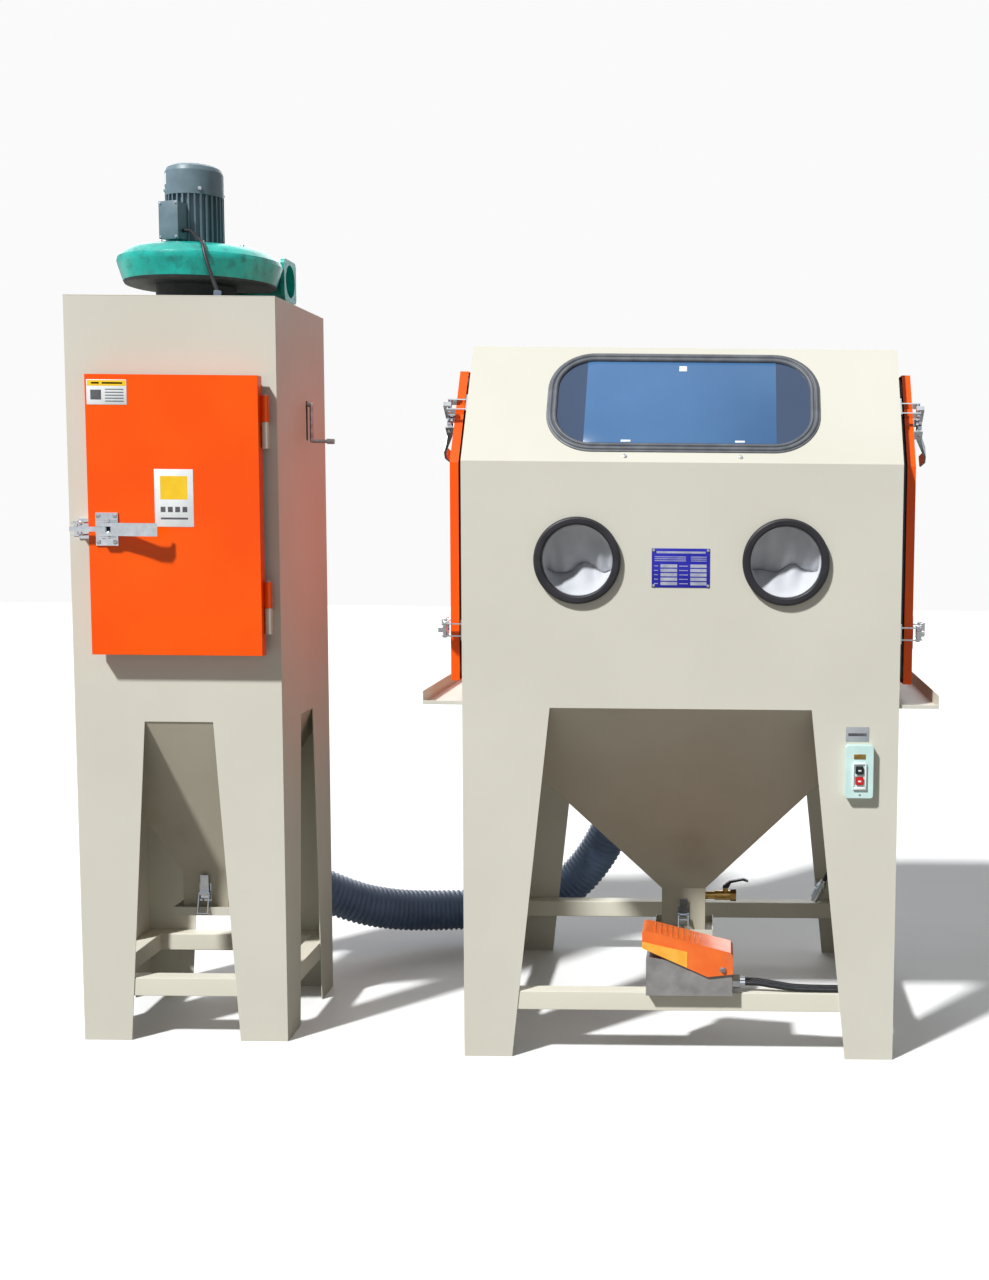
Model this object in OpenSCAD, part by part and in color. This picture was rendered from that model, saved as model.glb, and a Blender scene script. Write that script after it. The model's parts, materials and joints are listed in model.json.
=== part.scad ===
// Sandblast cabinet with its dust collector: two free-standing sheet-metal units
// joined by a flexible duct. Front faces -Y, right is +X, the floor is z = 0.

/* [Blast cabinet] */
// Width of the cabinet body
cab_w = 900; // [880:10:960]
// Depth of the cabinet body
cab_d = 800; // [780:10:860]
// Height of the flat top
cab_h = 1490; // [1470:10:1520]
// Height of the bend between front and slope
bend_z = 1244; // [1236:2:1250]
// How far the window slope leans back
slope_run = 176; // [170:2:184]
// Height of the underside of the body, where the leg openings start
belly_z = 740; // [730:5:745]
// Half width of the front leg opening at its top
open_top = 270; // [255:5:280]
// Half width of the front leg opening at the floor
open_foot = 350; // [340:5:355]
// Width of a leg seen from the side, at the top
side_leg_top = 180; // [160:5:190]
// Thickness of the sheet metal
sheet = 2; // [1.5:0.5:2]

/* [Dust collector] */
// Width of the collector body
col_w = 438; // [430:2:450]
// Depth of the collector body
col_d = 394; // [390:2:400]
// Height of the collector body
col_h = 1579; // [1560:1:1600]
// Height where the collector's leg openings start
col_belly_z = 692; // [680:2:700]
// Distance between the centres of the two units
unit_pitch = 1062; // [1050:2:1100]
// How far the collector's front stands behind the cabinet's front
col_setback = 80; // [60:5:100]

/* [Glove ports] */
// Distance of a port centre from the middle
port_x = 213; // [205:1:216]
// Height of the port centres
port_z = 1044; // [1040:1:1050]
// Outer diameter of the port ring
port_od = 178; // [172:2:180]
// Clear diameter of the port
port_id = 145; // [140:1:148]

/* [Window] */
// Width over the window seal
seal_w = 560; // [540:2:570]
// Height over the window seal, along the slope
seal_h = 252; // [240:2:254]
// Corner radius over the window seal
seal_r = 94; // [80:2:100]

/* [Doors] */
// Depth of a door pan
pan_t = 18; // [16:1:18]
// Height of the side doors' lower edge
door_low = 790; // [788:1:800]
// Height of the side doors' upper edge
door_top = 1438; // [1430:1:1440]

/* [Fan] */
// Radius of the fan housing
fan_r = 172; // [168:1:174]
// Radius of the motor over its fins
motor_r = 61; // [59:1:63]

/* [Hidden] */
$fn = 64;
clear = 0.4;
turn_gap = 0.05;

// Where the two units stand in the object's own frame.
cab_x = 374;
cab_y = -445;
col_x = cab_x - unit_pitch;
col_y = cab_y + col_setback;

// The window slope.
slope_rise = cab_h - bend_z;
slope_a = atan2(slope_rise, slope_run);
slope_len = norm([slope_run, slope_rise]);
slope_inset = 38;
function slope_z(y, inset) = bend_z - inset * cos(slope_a) + (y - inset * sin(slope_a)) * tan(slope_a);
function slope_y(z, inset) = inset * sin(slope_a) + (z - bend_z + inset * cos(slope_a)) / tan(slope_a);

// Rails between the legs.
rail = 40;
rail_z = 101;
rail_top = rail_z + rail;

// Side doors.
door_front = 45;
door_back = 760;
door_gap = 12;
door_x = cab_w / 2 + door_gap;
door_out = door_x + pan_t;
function door_outline(i) = [
    [door_front + i, door_low + i],
    [door_back - i, door_low + i],
    [door_back - i, door_top - i],
    [slope_y(door_top - i, slope_inset + i), door_top - i],
    [door_front + i, slope_z(door_front + i, slope_inset + i)]
];

// Collector door.
cdoor_l = -162;
cdoor_r = 192;
cdoor_low = 838;
cdoor_top = 1414;
cdoor_gap = 14;
cdoor_pan = 29;
cdoor_out = cdoor_gap + cdoor_pan;

// Hinge barrels, all of one size.
barrel_r = 7.5;
barrel_l = 54;
barrel_off = 8.5;
hinge_pin_r = 4;
side_hinge_z = [880, 1290];
col_hinge_z = [882, 1266];
side_hinge_y = door_back + barrel_off;
side_hinge_x = door_x + pan_t / 2;
col_hinge_x = cdoor_r + barrel_off;
col_hinge_y = -22;

// Hoppers and their spouts.
spout = 50;
spout_top = 278;
spout_low = 171;
col_spout_top = 336;
col_spout_low = 246;
cap_half = 68;

// Latch pivot, in the latch's own frame.
latch_pivot = [38, 17];

// Fan and motor, seen from the collector's centre line and front.
fan_x = -8;
fan_y = 200;
fan_z0 = 1620;
fan_z1 = 1698;
motor_z0 = 1700;
motor_z1 = 1819;
cowl_z1 = 1877;
outlet_x = 175;
outlet_y = 110;
outlet_z = 1650;
outlet_r = 36;

// Routes of the hoses and the cable, each in the object's own frame.
hose_r = 53;
duct_route = [
    [-688, 180, 700], [-688, 180, 600], [-688, 181, 500], [-686, 184, 410], [-674, 194, 330],
    [-640, 214, 260], [-588, 238, 207], [-520, 268, 164], [-450, 302, 130], [-375, 344, 107],
    [-296, 384, 95], [-216, 414, 90], [-136, 432, 90], [-60, 440, 98], [10, 442, 122],
    [72, 441, 166], [126, 437, 231], [170, 429, 312], [202, 422, 405], [224, 417, 505],
    [233, 415, 600], [234, 415, 700]
];
supply_r = 5;
supply_route = [
    [513, -435, 160], [540, -435, 159], [580, -435, 153], [620, -435, 148], [680, -435, 146.3],
    [735, -434, 146.3], [772, -424, 146.3], [794, -398, 146.3], [800, -360, 146.3],
    [801, -250, 146.3], [801, -100, 146.3], [801, 60, 146.3], [801, 150, 146.3],
    [801, 205, 150], [801, 242, 166], [799, 268, 196], [791, 282, 230], [776, 290, 254],
    [757, 293, 258], [740, 293, 243], [729, 293, 217], [724, 293, 206]
];
gun_route = [
    [513, -411, 160], [540, -411, 159], [580, -412, 153], [620, -414, 148], [680, -414, 146.3],
    [730, -413, 146.3], [760, -404, 146.3], [779, -384, 146.3], [785, -350, 146.3],
    [786, -250, 146.3], [786, -150, 148], [785, -80, 160], [783, -30, 195], [781, -2, 250],
    [780, 6, 330], [779, 2, 400], [776, -10, 470], [768, -20, 515], [754, -28, 546],
    [738, -31, 567], [722, -32, 582.5], [711, -32, 592]
];
cable_r = 4;
cable_route = [
    [-698.5, -238.7, 1730], [-690, -241.8, 1730], [-682, -246, 1729], [-674, -253, 1725],
    [-667, -262, 1719], [-659, -274, 1712], [-651, -287, 1706], [-642, -301, 1701.5],
    [-634, -315, 1695], [-627, -327, 1683], [-622, -334, 1667], [-616, -338, 1650],
    [-610, -340, 1632], [-604, -342, 1615], [-598, -344, 1601], [-594, -345, 1591]
];

gland_at = cable_route[len(cable_route) - 1];

beige = [0.84, 0.82, 0.76];
orange = [1, 0.33, 0];
silver = [0.8, 0.82, 0.85];
dark = [0.16, 0.16, 0.18];

// ---- placing helpers ----

module at_cabinet() translate([cab_x, cab_y, 0]) children();
module at_collector() translate([col_x, col_y, 0]) children();
module both_sides() {
    children();
    mirror([1, 0, 0]) children();
}

// A flat outline drawn in X and Z, as a sheet from y to y + t.
module plate_xz(y, t) translate([0, y + t, 0]) rotate([90, 0, 0]) linear_extrude(t) children();

// A flat outline drawn in Y and Z, as a sheet from x to x + t.
module plate_yz(x, t) translate([x, 0, 0]) rotate([90, 0, 90]) linear_extrude(t) children();

// The plane of the window slope: x across, y up the slope, z out of it.
module on_slope() translate([0, 0, bend_z]) rotate([slope_a, 0, 0]) children();

module round_rect(w, h, r) {
    square([w - 2 * r, h], center = true);
    square([w, h - 2 * r], center = true);
    for (sx = [-1, 1], sy = [-1, 1])
        translate([sx * (w / 2 - r), sy * (h / 2 - r)]) circle(r);
}

// The tapered opening between two legs.
module leg_opening(mid, top, foot, z) {
    polygon([[mid - foot, -1], [mid + foot, -1], [mid + top, z], [mid - top, z]]);
}

// A tube solid swept along a route of points.
function unit(v) = v / norm(v);
function along(p, i) = unit(p[min(i + 1, len(p) - 1)] - p[max(i - 1, 0)]);
function side_of(t, last) = unit(last - (last * t) * t);
function frames(p, i, last) =
    i == len(p) ? [] :
    let (t = along(p, i), n = side_of(t, last))
    concat([[n, cross(t, n)]], frames(p, i + 1, n));
module tube(route, r, sides, first) {
    f = frames(route, 0, first);
    n = len(route);
    points = [for (i = [0 : n - 1], k = [0 : sides - 1])
        route[i] + r * (cos(360 * k / sides) * f[i][0] + sin(360 * k / sides) * f[i][1])];
    walls = [for (i = [0 : n - 2], k = [0 : sides - 1])
        let (a = i * sides + k, b = i * sides + (k + 1) % sides)
        [a, a + sides, b + sides, b]];
    ends = [[for (k = [0 : sides - 1]) k], [for (k = [sides - 1 : -1 : 0]) (n - 1) * sides + k]];
    polyhedron(points, concat(walls, ends));
}

// ---- blast cabinet body ----

module front_panel() color(beige) at_cabinet() {
    difference() {
        plate_xz(0, sheet) difference() {
            translate([-cab_w / 2, 0]) square([cab_w, bend_z]);
            leg_opening(0, open_top, open_foot, belly_z);
        }
        both_sides() translate([port_x, 0, port_z]) rotate([90, 0, 0])
            cylinder(h = 20, r = port_id / 2 + 4.5, center = true);
    }
    on_slope() translate([0, 0, -sheet]) linear_extrude(sheet) difference() {
        translate([-cab_w / 2, 0]) square([cab_w, slope_len]);
        translate([0, seal_mid]) round_rect(seal_w - 22, seal_h - 22, seal_r - 11);
    }
    translate([-cab_w / 2, slope_run, cab_h - sheet]) cube([cab_w, cab_d - slope_run, sheet]);
}
seal_mid = 155;

module side_sheet() {
    difference() {
        polygon([
            [sheet, 0], [cab_d - sheet, 0], [cab_d - sheet, cab_h - sheet],
            [slope_y(cab_h - sheet, sheet), cab_h - sheet], [sheet, slope_z(sheet, sheet)]
        ]);
        leg_opening(cab_d / 2, cab_d / 2 - side_leg_top, cab_d / 2 - 100, belly_z);
        polygon(door_outline(36));
    }
}
module left_side_panel() color(beige) at_cabinet() plate_yz(-cab_w / 2, sheet) side_sheet();
module right_side_panel() color(beige) at_cabinet() plate_yz(cab_w / 2 - sheet, sheet) side_sheet();

duct_x = -140;
duct_y = 60;
module back_panel() color(beige) at_cabinet() plate_xz(cab_d - sheet, sheet) difference() {
    translate([-cab_w / 2, 0]) square([cab_w, cab_h - sheet]);
    leg_opening(0, open_top, open_foot, belly_z);
    translate([duct_x, 830]) square([100, 80], center = true);
}

module rail_ring(w, d) {
    for (y = [sheet, d - sheet - rail])
        translate([-w / 2 + sheet, y, rail_z]) cube([w - 2 * sheet, rail, rail]);
    for (x = [-w / 2 + sheet, w / 2 - sheet - rail])
        translate([x, sheet + rail, rail_z]) cube([rail, d - 2 * (sheet + rail), rail]);
}
module floor_rails() color(beige) {
    at_cabinet() rail_ring(cab_w, cab_d);
    at_collector() translate([0, 0, -4]) rail_ring(col_w, col_d);
}

// ---- hoppers ----

// Narrow seams at the corners part the four plates of a hopper.
seam = 0.05;
module corner_seams(hw, hd, low, top) for (sx = [-1, 1], sy = [-1, 1])
    translate([sx * spout, sy * spout, low]) rotate([0, 0, atan2(sy * (hd - spout), sx * (hw - spout))])
        translate([-10, -seam / 2, 0]) cube([hw + hd, seam, top - low]);
// A four-sided funnel from a rectangle at the top to a square spout.
module funnel(hw, hd, z_top, z_low, half, z_end) {
    polyhedron(
        [
            [-half, -half, z_low], [half, -half, z_low], [half, half, z_low], [-half, half, z_low],
            [-hw, -hd, z_top], [hw, -hd, z_top], [hw, hd, z_top], [-hw, hd, z_top]
        ],
        [[0, 1, 2, 3], [7, 6, 5, 4], [0, 4, 5, 1], [1, 5, 6, 2], [2, 6, 7, 3], [3, 7, 4, 0]]
    );
    translate([-half, -half, z_end]) cube([2 * half, 2 * half, z_low - z_end]);
}
module hollow_funnel(w, d, z_top, z_low, z_end) {
    translate([0, d / 2, 0]) difference() {
        funnel(w / 2 - sheet, d / 2 - sheet, z_top, z_low, spout, z_end);
        translate([0, 0, 3.2]) funnel(w / 2 - sheet, d / 2 - sheet, z_top, z_low, spout - 2, z_end - 8);
        corner_seams(w / 2 - sheet, d / 2 - sheet, z_end - 1, z_top + 1);
    }
}
module hopper() color(beige) at_cabinet() hollow_funnel(cab_w, cab_d, belly_z, spout_top, spout_low);
module collector_hopper() color(beige) at_collector()
    hollow_funnel(col_w, col_d, col_belly_z, col_spout_top, col_spout_low);

// Everything at the foot of a spout is drawn round its axis, with z from the spout's end.
module at_spouts() {
    at_cabinet() translate([0, cab_d / 2, spout_low]) children();
    at_collector() translate([0, col_d / 2, col_spout_low]) children();
}
cap_pin = [76, 7];
module spout_cap() {
    difference() {
        translate([-cap_half, -cap_half, -5]) cube([2 * cap_half, 2 * cap_half, 19]);
        translate([-cap_half + 2, -cap_half + 2, -2]) cube([2 * cap_half - 4, 2 * cap_half - 4, 20]);
    }
    translate([-7, -cap_half - 2, -3]) cube([14, 2, 12]);
    difference() {
        union() {
            translate([-20, cap_pin[0], cap_pin[1]]) rotate([0, 90, 0]) cylinder(h = 40, r = 5.5);
            translate([-20, cap_half - 1, 0]) cube([40, cap_pin[0] - cap_half, 6]);
        }
        translate([-21, cap_pin[0], cap_pin[1]]) rotate([0, 90, 0]) cylinder(h = 42, r = 2.5 + turn_gap);
    }
}
module hopper_cap() color(beige) at_cabinet() translate([0, cab_d / 2, spout_low]) spout_cap();
module collector_cap() color(beige) at_collector() translate([0, col_d / 2, col_spout_low]) spout_cap();

// Draw latch on the front of a spout: lever pivot and bail pivot, as [y, z].
lever_pin = [-57, 34];
bail_pin = [-62, 44];
module cap_brackets() color(silver) at_spouts() {
    translate([0, cap_pin[0], cap_pin[1]]) rotate([0, 90, 0]) cylinder(h = 72, r = 2.5, center = true);
    both_sides() {
        translate([21, cap_pin[0], cap_pin[1]]) rotate([0, 90, 0]) cylinder(h = 14, r = 5.5);
        translate([21, cap_pin[0] - 4, cap_pin[1]]) cube([14, 8, 15]);
        translate([21, spout, 17]) cube([14, cap_pin[0] - spout + 4, 5]);
    }
    translate([-13, -spout - 2, 24]) cube([26, 2, 40]);
    both_sides() translate([9.5, lever_pin[0] - 4, 29]) cube([3, 4 - lever_pin[0] - spout, 10]);
    translate([0, lever_pin[0], lever_pin[1]]) rotate([0, 90, 0]) cylinder(h = 22, r = 2, center = true);
}
module toggle_lever() difference() {
    union() {
        translate([-9, lever_pin[0] - 2.5, lever_pin[1]]) cube([18, 5, 10]);
        translate([-9, lever_pin[0], lever_pin[1]]) rotate([0, 90, 0]) cylinder(h = 18, r = 3.6);
        translate([-9, lever_pin[0] - 1.5, lever_pin[1] + 8]) cube([18, 3, 42]);
        translate([-9, bail_pin[0] - 3.6, bail_pin[1] - 3.6]) cube([18, 7.2, 7.2]);
    }
    translate([-10, lever_pin[0], lever_pin[1]]) rotate([0, 90, 0]) cylinder(h = 20, r = 2 + turn_gap);
    translate([-10, bail_pin[0], bail_pin[1]]) rotate([0, 90, 0]) cylinder(h = 20, r = 1.6 + turn_gap);
}
bail_foot = [-76, 2];
module wire_bail() {
    drop = norm(bail_foot - bail_pin);
    lean = atan2(bail_pin[0] - bail_foot[0], bail_pin[1] - bail_foot[1]);
    translate([0, bail_pin[0], bail_pin[1]]) rotate([-lean, 0, 0]) {
        both_sides() translate([11, 0, -drop]) cylinder(h = drop + 1.6, r = 1.6);
        rotate([0, 90, 0]) cylinder(h = 22, r = 1.6, center = true);
        translate([0, 0, -drop]) rotate([0, 90, 0]) cylinder(h = 25.2, r = 1.6, center = true);
    }
}
module hopper_latch_lever() color(silver) at_cabinet() translate([0, cab_d / 2, spout_low]) toggle_lever();
module hopper_latch_bail() color(silver) at_cabinet() translate([0, cab_d / 2, spout_low]) wire_bail();
module collector_cap_lever() color(silver) at_collector()
    translate([0, col_d / 2, col_spout_low]) toggle_lever();
module collector_cap_bail() color(silver) at_collector()
    translate([0, col_d / 2, col_spout_low]) wire_bail();

// ---- doors, hinges and latches ----

module side_door() {
    difference() {
        plate_yz(door_x, pan_t) polygon(door_outline(0));
        plate_yz(door_x - 1, pan_t - sheet + 1) polygon(door_outline(sheet));
    }
    for (z = side_hinge_z) translate([side_hinge_x, side_hinge_y, z + barrel_l + clear])
        moving_barrel([0, -barrel_off]);
}
// The half of a hinge that is welded to a door, with a short leaf towards the door.
module moving_barrel(to_door) difference() {
    union() {
        cylinder(h = barrel_l, r = barrel_r);
        if (to_door[0] == 0) translate([-2, to_door[1], 4]) cube([4, -to_door[1], barrel_l - 8]);
        if (to_door[1] == 0) translate([to_door[0], -2, 4]) cube([-to_door[0], 4, barrel_l - 8]);
    }
    translate([0, 0, -1]) cylinder(h = barrel_l + 2, r = hinge_pin_r + turn_gap);
}
module left_door() color(orange) at_cabinet() mirror([1, 0, 0]) side_door();
module right_door() color(orange) at_cabinet() side_door();

module collector_door() color(orange) at_collector() {
    difference() {
        translate([cdoor_l, -cdoor_out, cdoor_low])
            cube([cdoor_r - cdoor_l, cdoor_pan, cdoor_top - cdoor_low]);
        translate([cdoor_l + sheet, -cdoor_out + sheet, cdoor_low + sheet])
            cube([cdoor_r - cdoor_l - 2 * sheet, cdoor_pan, cdoor_top - cdoor_low - 2 * sheet]);
    }
    for (z = col_hinge_z) translate([col_hinge_x, col_hinge_y, z + barrel_l + clear])
        moving_barrel([-barrel_off, 0]);
}

// The half of a hinge that is welded to the body, with the pin that the door turns on.
module fixed_barrel(leaf) {
    cylinder(h = barrel_l, r = barrel_r);
    cylinder(h = 2 * barrel_l + 4, r = hinge_pin_r);
    translate([0, -2, 4]) cube([leaf, 4, barrel_l - 8]);
}
module hinge_barrels() color(beige) {
    at_cabinet() both_sides() for (z = side_hinge_z)
        translate([side_hinge_x, side_hinge_y, z]) rotate([0, 0, 180])
            fixed_barrel(side_hinge_x - cab_w / 2);
    at_collector() for (z = col_hinge_z)
        translate([col_hinge_x, col_hinge_y, z]) rotate([0, 0, 90]) fixed_barrel(-col_hinge_y);
}

module door_seals() color(dark) {
    at_cabinet() both_sides() plate_yz(cab_w / 2, door_gap - clear) difference() {
        polygon(door_outline(10));
        polygon(door_outline(30));
    }
    at_collector() plate_xz(-cdoor_gap + clear, cdoor_gap - clear) difference() {
        translate([cdoor_l + 8, cdoor_low + 8])
            square([cdoor_r - cdoor_l - 16, cdoor_top - cdoor_low - 16]);
        translate([cdoor_l + 26, cdoor_low + 26])
            square([cdoor_r - cdoor_l - 52, cdoor_top - cdoor_low - 52]);
    }
}

// Latches are drawn with x along the lever, z out of the door's face, y across.
// x = 0 is the edge of the door, and the keeper stands beyond it.
module latch_keeper(stand) {
    translate([-37, -21, -stand]) cube([32, 42, 3]);
    for (y = [-14, 11]) translate([-31, y, -stand + 3]) cube([17, 3, stand + 10]);
    translate([-22, -14, 8]) rotate([-90, 0, 0]) cylinder(h = 28, r = 4);
}
module latch_base() {
    translate([16, -34, 0]) cube([46, 68, 3]);
    for (y = [-18, 15]) translate([25, y, 3]) cube([26, 3, 20]);
    translate([latch_pivot[0], -18, latch_pivot[1]]) rotate([-90, 0, 0]) cylinder(h = 36, r = 3);
    translate([-29, -5, 13.5]) cube([71, 10, 7]);
    translate([-31.5, -5, 4]) cube([4, 10, 16.5]);
}
module latch_lever() difference() {
    translate([0, 13.5, 0]) rotate([90, 0, 0]) linear_extrude(27) polygon([
        [32, 11], [46, 11], [60, 13], [88, 24], [118, 35], [136, 36], [150, 29],
        [153, 32], [138, 41], [117, 40], [86, 30], [60, 24], [44, 24], [32, 22]
    ]);
    translate([latch_pivot[0], 0, latch_pivot[1]]) rotate([90, 0, 0])
        cylinder(h = 40, r = 3 + turn_gap, center = true);
    translate([20, -5.6, 0]) cube([36, 11.2, 30]);
}
upper_latch_z = 1345;
upper_latch = [slope_y(upper_latch_z, slope_inset), upper_latch_z];
lower_latch = [door_front, 898];
module at_right_latch(upper) at_cabinet() {
    if (upper) translate([door_out, upper_latch[0], upper_latch[1]]) rotate([90, 0, 90])
        rotate([0, 0, slope_a - 90]) children();
    else translate([door_out, lower_latch[0], lower_latch[1]]) rotate([90, 0, 90]) children();
}
module at_left_latch(upper) at_cabinet() mirror([1, 0, 0])
    translate([-cab_x, -cab_y, 0]) at_right_latch(upper) children();
module at_collector_latch() at_collector()
    translate([cdoor_l, -cdoor_out, 1098]) rotate([90, 0, 0]) children();

module left_latch_bases() color(silver) for (u = [true, false]) at_left_latch(u) latch_base();
module right_latch_bases() color(silver) for (u = [true, false]) at_right_latch(u) latch_base();
module collector_latch_base() color(silver) at_collector_latch() latch_base();
module latch_keepers() color(silver) {
    for (u = [true, false]) {
        at_left_latch(u) latch_keeper(door_gap + pan_t);
        at_right_latch(u) latch_keeper(door_gap + pan_t);
    }
    at_collector_latch() latch_keeper(cdoor_out);
}
module left_upper_lever() color(silver) at_left_latch(true) latch_lever();
module left_lower_lever() color(silver) at_left_latch(false) latch_lever();
module right_upper_lever() color(silver) at_right_latch(true) latch_lever();
module right_lower_lever() color(silver) at_right_latch(false) latch_lever();
module collector_lever() color(silver) at_collector_latch() latch_lever();

// ---- gloves, window and inside fittings ----

// Solids turned about a glove port's axis, drawn with radius and depth behind the front.
module at_ports() at_cabinet() both_sides() translate([port_x, 0, port_z]) rotate([-90, 0, 0]) children();

module glove_rings() color(dark) at_ports() rotate_extrude() polygon([
    [port_id / 2, 14], [port_id / 2, -11], [port_id / 2 + 3, -14], [port_od / 2 - 4, -14],
    [port_od / 2, -10], [port_od / 2, 0], [port_id / 2 + 4.5, 0], [port_id / 2 + 4.5, 14]
]);

glove_wall = 4;
glove_line = [[76, 14.5], [75, 110], [66, 210], [58, 300], [60, 350], [50, 395], [30, 420], [0, 428]];
module gloves() color("white") at_ports() rotate_extrude() polygon(concat(
    glove_line,
    [for (i = [len(glove_line) - 1 : -1 : 0])
        [max(glove_line[i][0] - glove_wall, 0), glove_line[i][1] - (i == 0 ? 0 : glove_wall)]]
));

glass_t = 5;
module window_seal() color(dark) at_cabinet() on_slope() translate([0, seal_mid, 0]) difference() {
    translate([0, 0, -9]) linear_extrude(15) difference() {
        round_rect(seal_w, seal_h, seal_r);
        round_rect(seal_w - 36, seal_h - 36, seal_r - 18);
    }
    translate([0, 0, -sheet]) linear_extrude(sheet) difference() {
        round_rect(seal_w + 10, seal_h + 10, seal_r + 5);
        round_rect(seal_w - 22, seal_h - 22, seal_r - 11);
    }
    translate([0, 0, -glass_t]) linear_extrude(glass_t) round_rect(seal_w - 28, seal_h - 28, seal_r - 14);
}
module window_glass() color([0.35, 0.5, 0.7]) at_cabinet() on_slope() translate([0, seal_mid, -glass_t])
    linear_extrude(glass_t) round_rect(seal_w - 28, seal_h - 28, seal_r - 14);

grate_z = 752;
module work_grate() color("dimgray") at_cabinet() {
    for (i = [0 : 20]) translate([-444, 20 + i * 38, grate_z]) cube([888, 4, 18]);
    for (i = [-3 : 3]) translate([i * 146 - 3, 20, grate_z]) cube([6, 764, 18]);
}

module blast_gun() color("gray") at_cabinet() translate([60, 520, grate_z + 18 + 17]) rotate([0, 90, 25]) {
    difference() {
        cylinder(h = 95, r = 17);
        translate([0, 0, 70]) cylinder(h = 30, r = 11);
    }
    translate([0, 0, 70.2]) difference() {
        cylinder(h = 60, r = 10.8);
        translate([0, 0, 5]) cylinder(h = 60, r = 4);
    }
    translate([0, 0, -22]) cylinder(h = 22, r = 7);
    translate([0, 0, 30]) rotate([90, 0, 0]) cylinder(h = 48, r = 8);
}

module lamp() color("white") at_cabinet() translate([0, 470, cab_h - sheet - 42]) {
    translate([-150, -32, 12]) cube([300, 64, 30]);
    translate([-142, -26, 0]) cube([284, 52, 12]);
}

module side_trays() color(beige) at_cabinet() both_sides() {
    translate([cab_w / 2, 8, 744]) cube([83, cab_d - 16, sheet]);
    translate([cab_w / 2 + 81, 8, 744 + sheet]) cube([2, cab_d - 16, 26]);
    for (y = [8, cab_d - 10]) translate([cab_w / 2, y, 744 + sheet]) cube([81, 2, 6]);
}

// ---- switch ----

switch_x = 369;
switch_z = 615;
button_gap = 0.5;
module button_pockets() for (z = [4, -18])
    translate([0, -18, z]) cube([15 + 2 * button_gap, 16, 15 + 2 * button_gap], center = true);
module switch_box() color([0.8, 0.93, 0.92]) at_cabinet() translate([switch_x, 0, switch_z]) difference() {
    union() {
        rotate([90, 0, 0]) linear_extrude(18) round_rect(58, 110, 6);
        translate([-11, -21, -30]) cube([22, 3.1, 46]);
    }
    button_pockets();
}
module push_button(z) at_cabinet()
    translate([switch_x - 7.5, -25.5, switch_z + z - 7.5]) cube([15, 11, 15]);
module start_button() color("black") push_button(4);
module stop_button() color("red") push_button(-18);

// ---- foot pedal, resting on the front rail ----

pedal_y = 20;
pedal_half = 42;
pedal_pin = [92, 199];
module pedal_base() color("dimgray") at_cabinet() {
    plate_xz(pedal_y - pedal_half, 2 * pedal_half) polygon([
        [-68, rail_top], [112, rail_top], [112, 176], [100, 212], [84, 212], [-68, 220]
    ]);
    translate([pedal_pin[0], pedal_y, pedal_pin[1]]) rotate([90, 0, 0])
        cylinder(h = 2 * pedal_half + 14, r = 4, center = true);
}
module pedal_treadle() color(orange) at_cabinet() difference() {
    plate_xz(pedal_y - pedal_half - 5, 2 * pedal_half + 10) polygon([
        [-76, 243], [-76, 277], [-66, 279], [108, 235], [113, 227], [113, 189], [60, 183]
    ]);
    plate_xz(pedal_y - pedal_half - 1, 2 * pedal_half + 2) polygon([
        [-73, 150], [-73, 274], [-66, 275], [106, 231], [109.5, 225], [112, 140]
    ]);
    translate([106, pedal_y - pedal_half - 1, 150]) cube([12, 2 * pedal_half + 2, 72]);
    translate([pedal_pin[0], pedal_y, pedal_pin[1]]) rotate([90, 0, 0])
        cylinder(h = 200, r = 4 + turn_gap, center = true);
}

// ---- air fittings, hoses and drain valve ----

// The inlet coupler's hose end and lean, at the inner edge of the right rear leg.
coupler_top = [350, 738, 206];
coupler_lean = 26;
wall_point = [327.4, 413, 600];
wall_lean = 130.75;
module line_fittings() color(silver) {
    air_line_fittings();
    translate([gland_at[0], gland_at[1], col_h]) cylinder(h = gland_at[2] - col_h, r = 8);
}
module air_line_fittings() at_cabinet() {
    for (y = [10, 34]) translate([112, y, 160]) rotate([0, 90, 0]) {
        cylinder(h = 16, r = 11, $fn = 6);
        cylinder(h = 27, r = 7);
    }
    translate(coupler_top) rotate([0, coupler_lean, 0]) translate([0, 0, -60]) difference() {
        union() {
            cylinder(h = 60, r = 9);
            translate([0, 0, 8]) cylinder(h = 26, r = 13);
            translate([0, 0, 40]) cylinder(h = 10, r = 12, $fn = 6);
        }
        translate([0, 0, -1]) cylinder(h = 25, r = 6);
    }
    translate([329, 742, 178]) cube([14, 56, 18]);
    translate(wall_point) rotate([0, wall_lean, 0]) {
        cylinder(h = 12.5, r = 7);
        cylinder(h = 8, r = 11, $fn = 6);
    }
}
module supply_hose() color("black") tube(supply_route, supply_r, 10, [0, 0, 1]);
module gun_hose() color("black") tube(gun_route, supply_r, 10, [0, 0, 1]);

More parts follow.
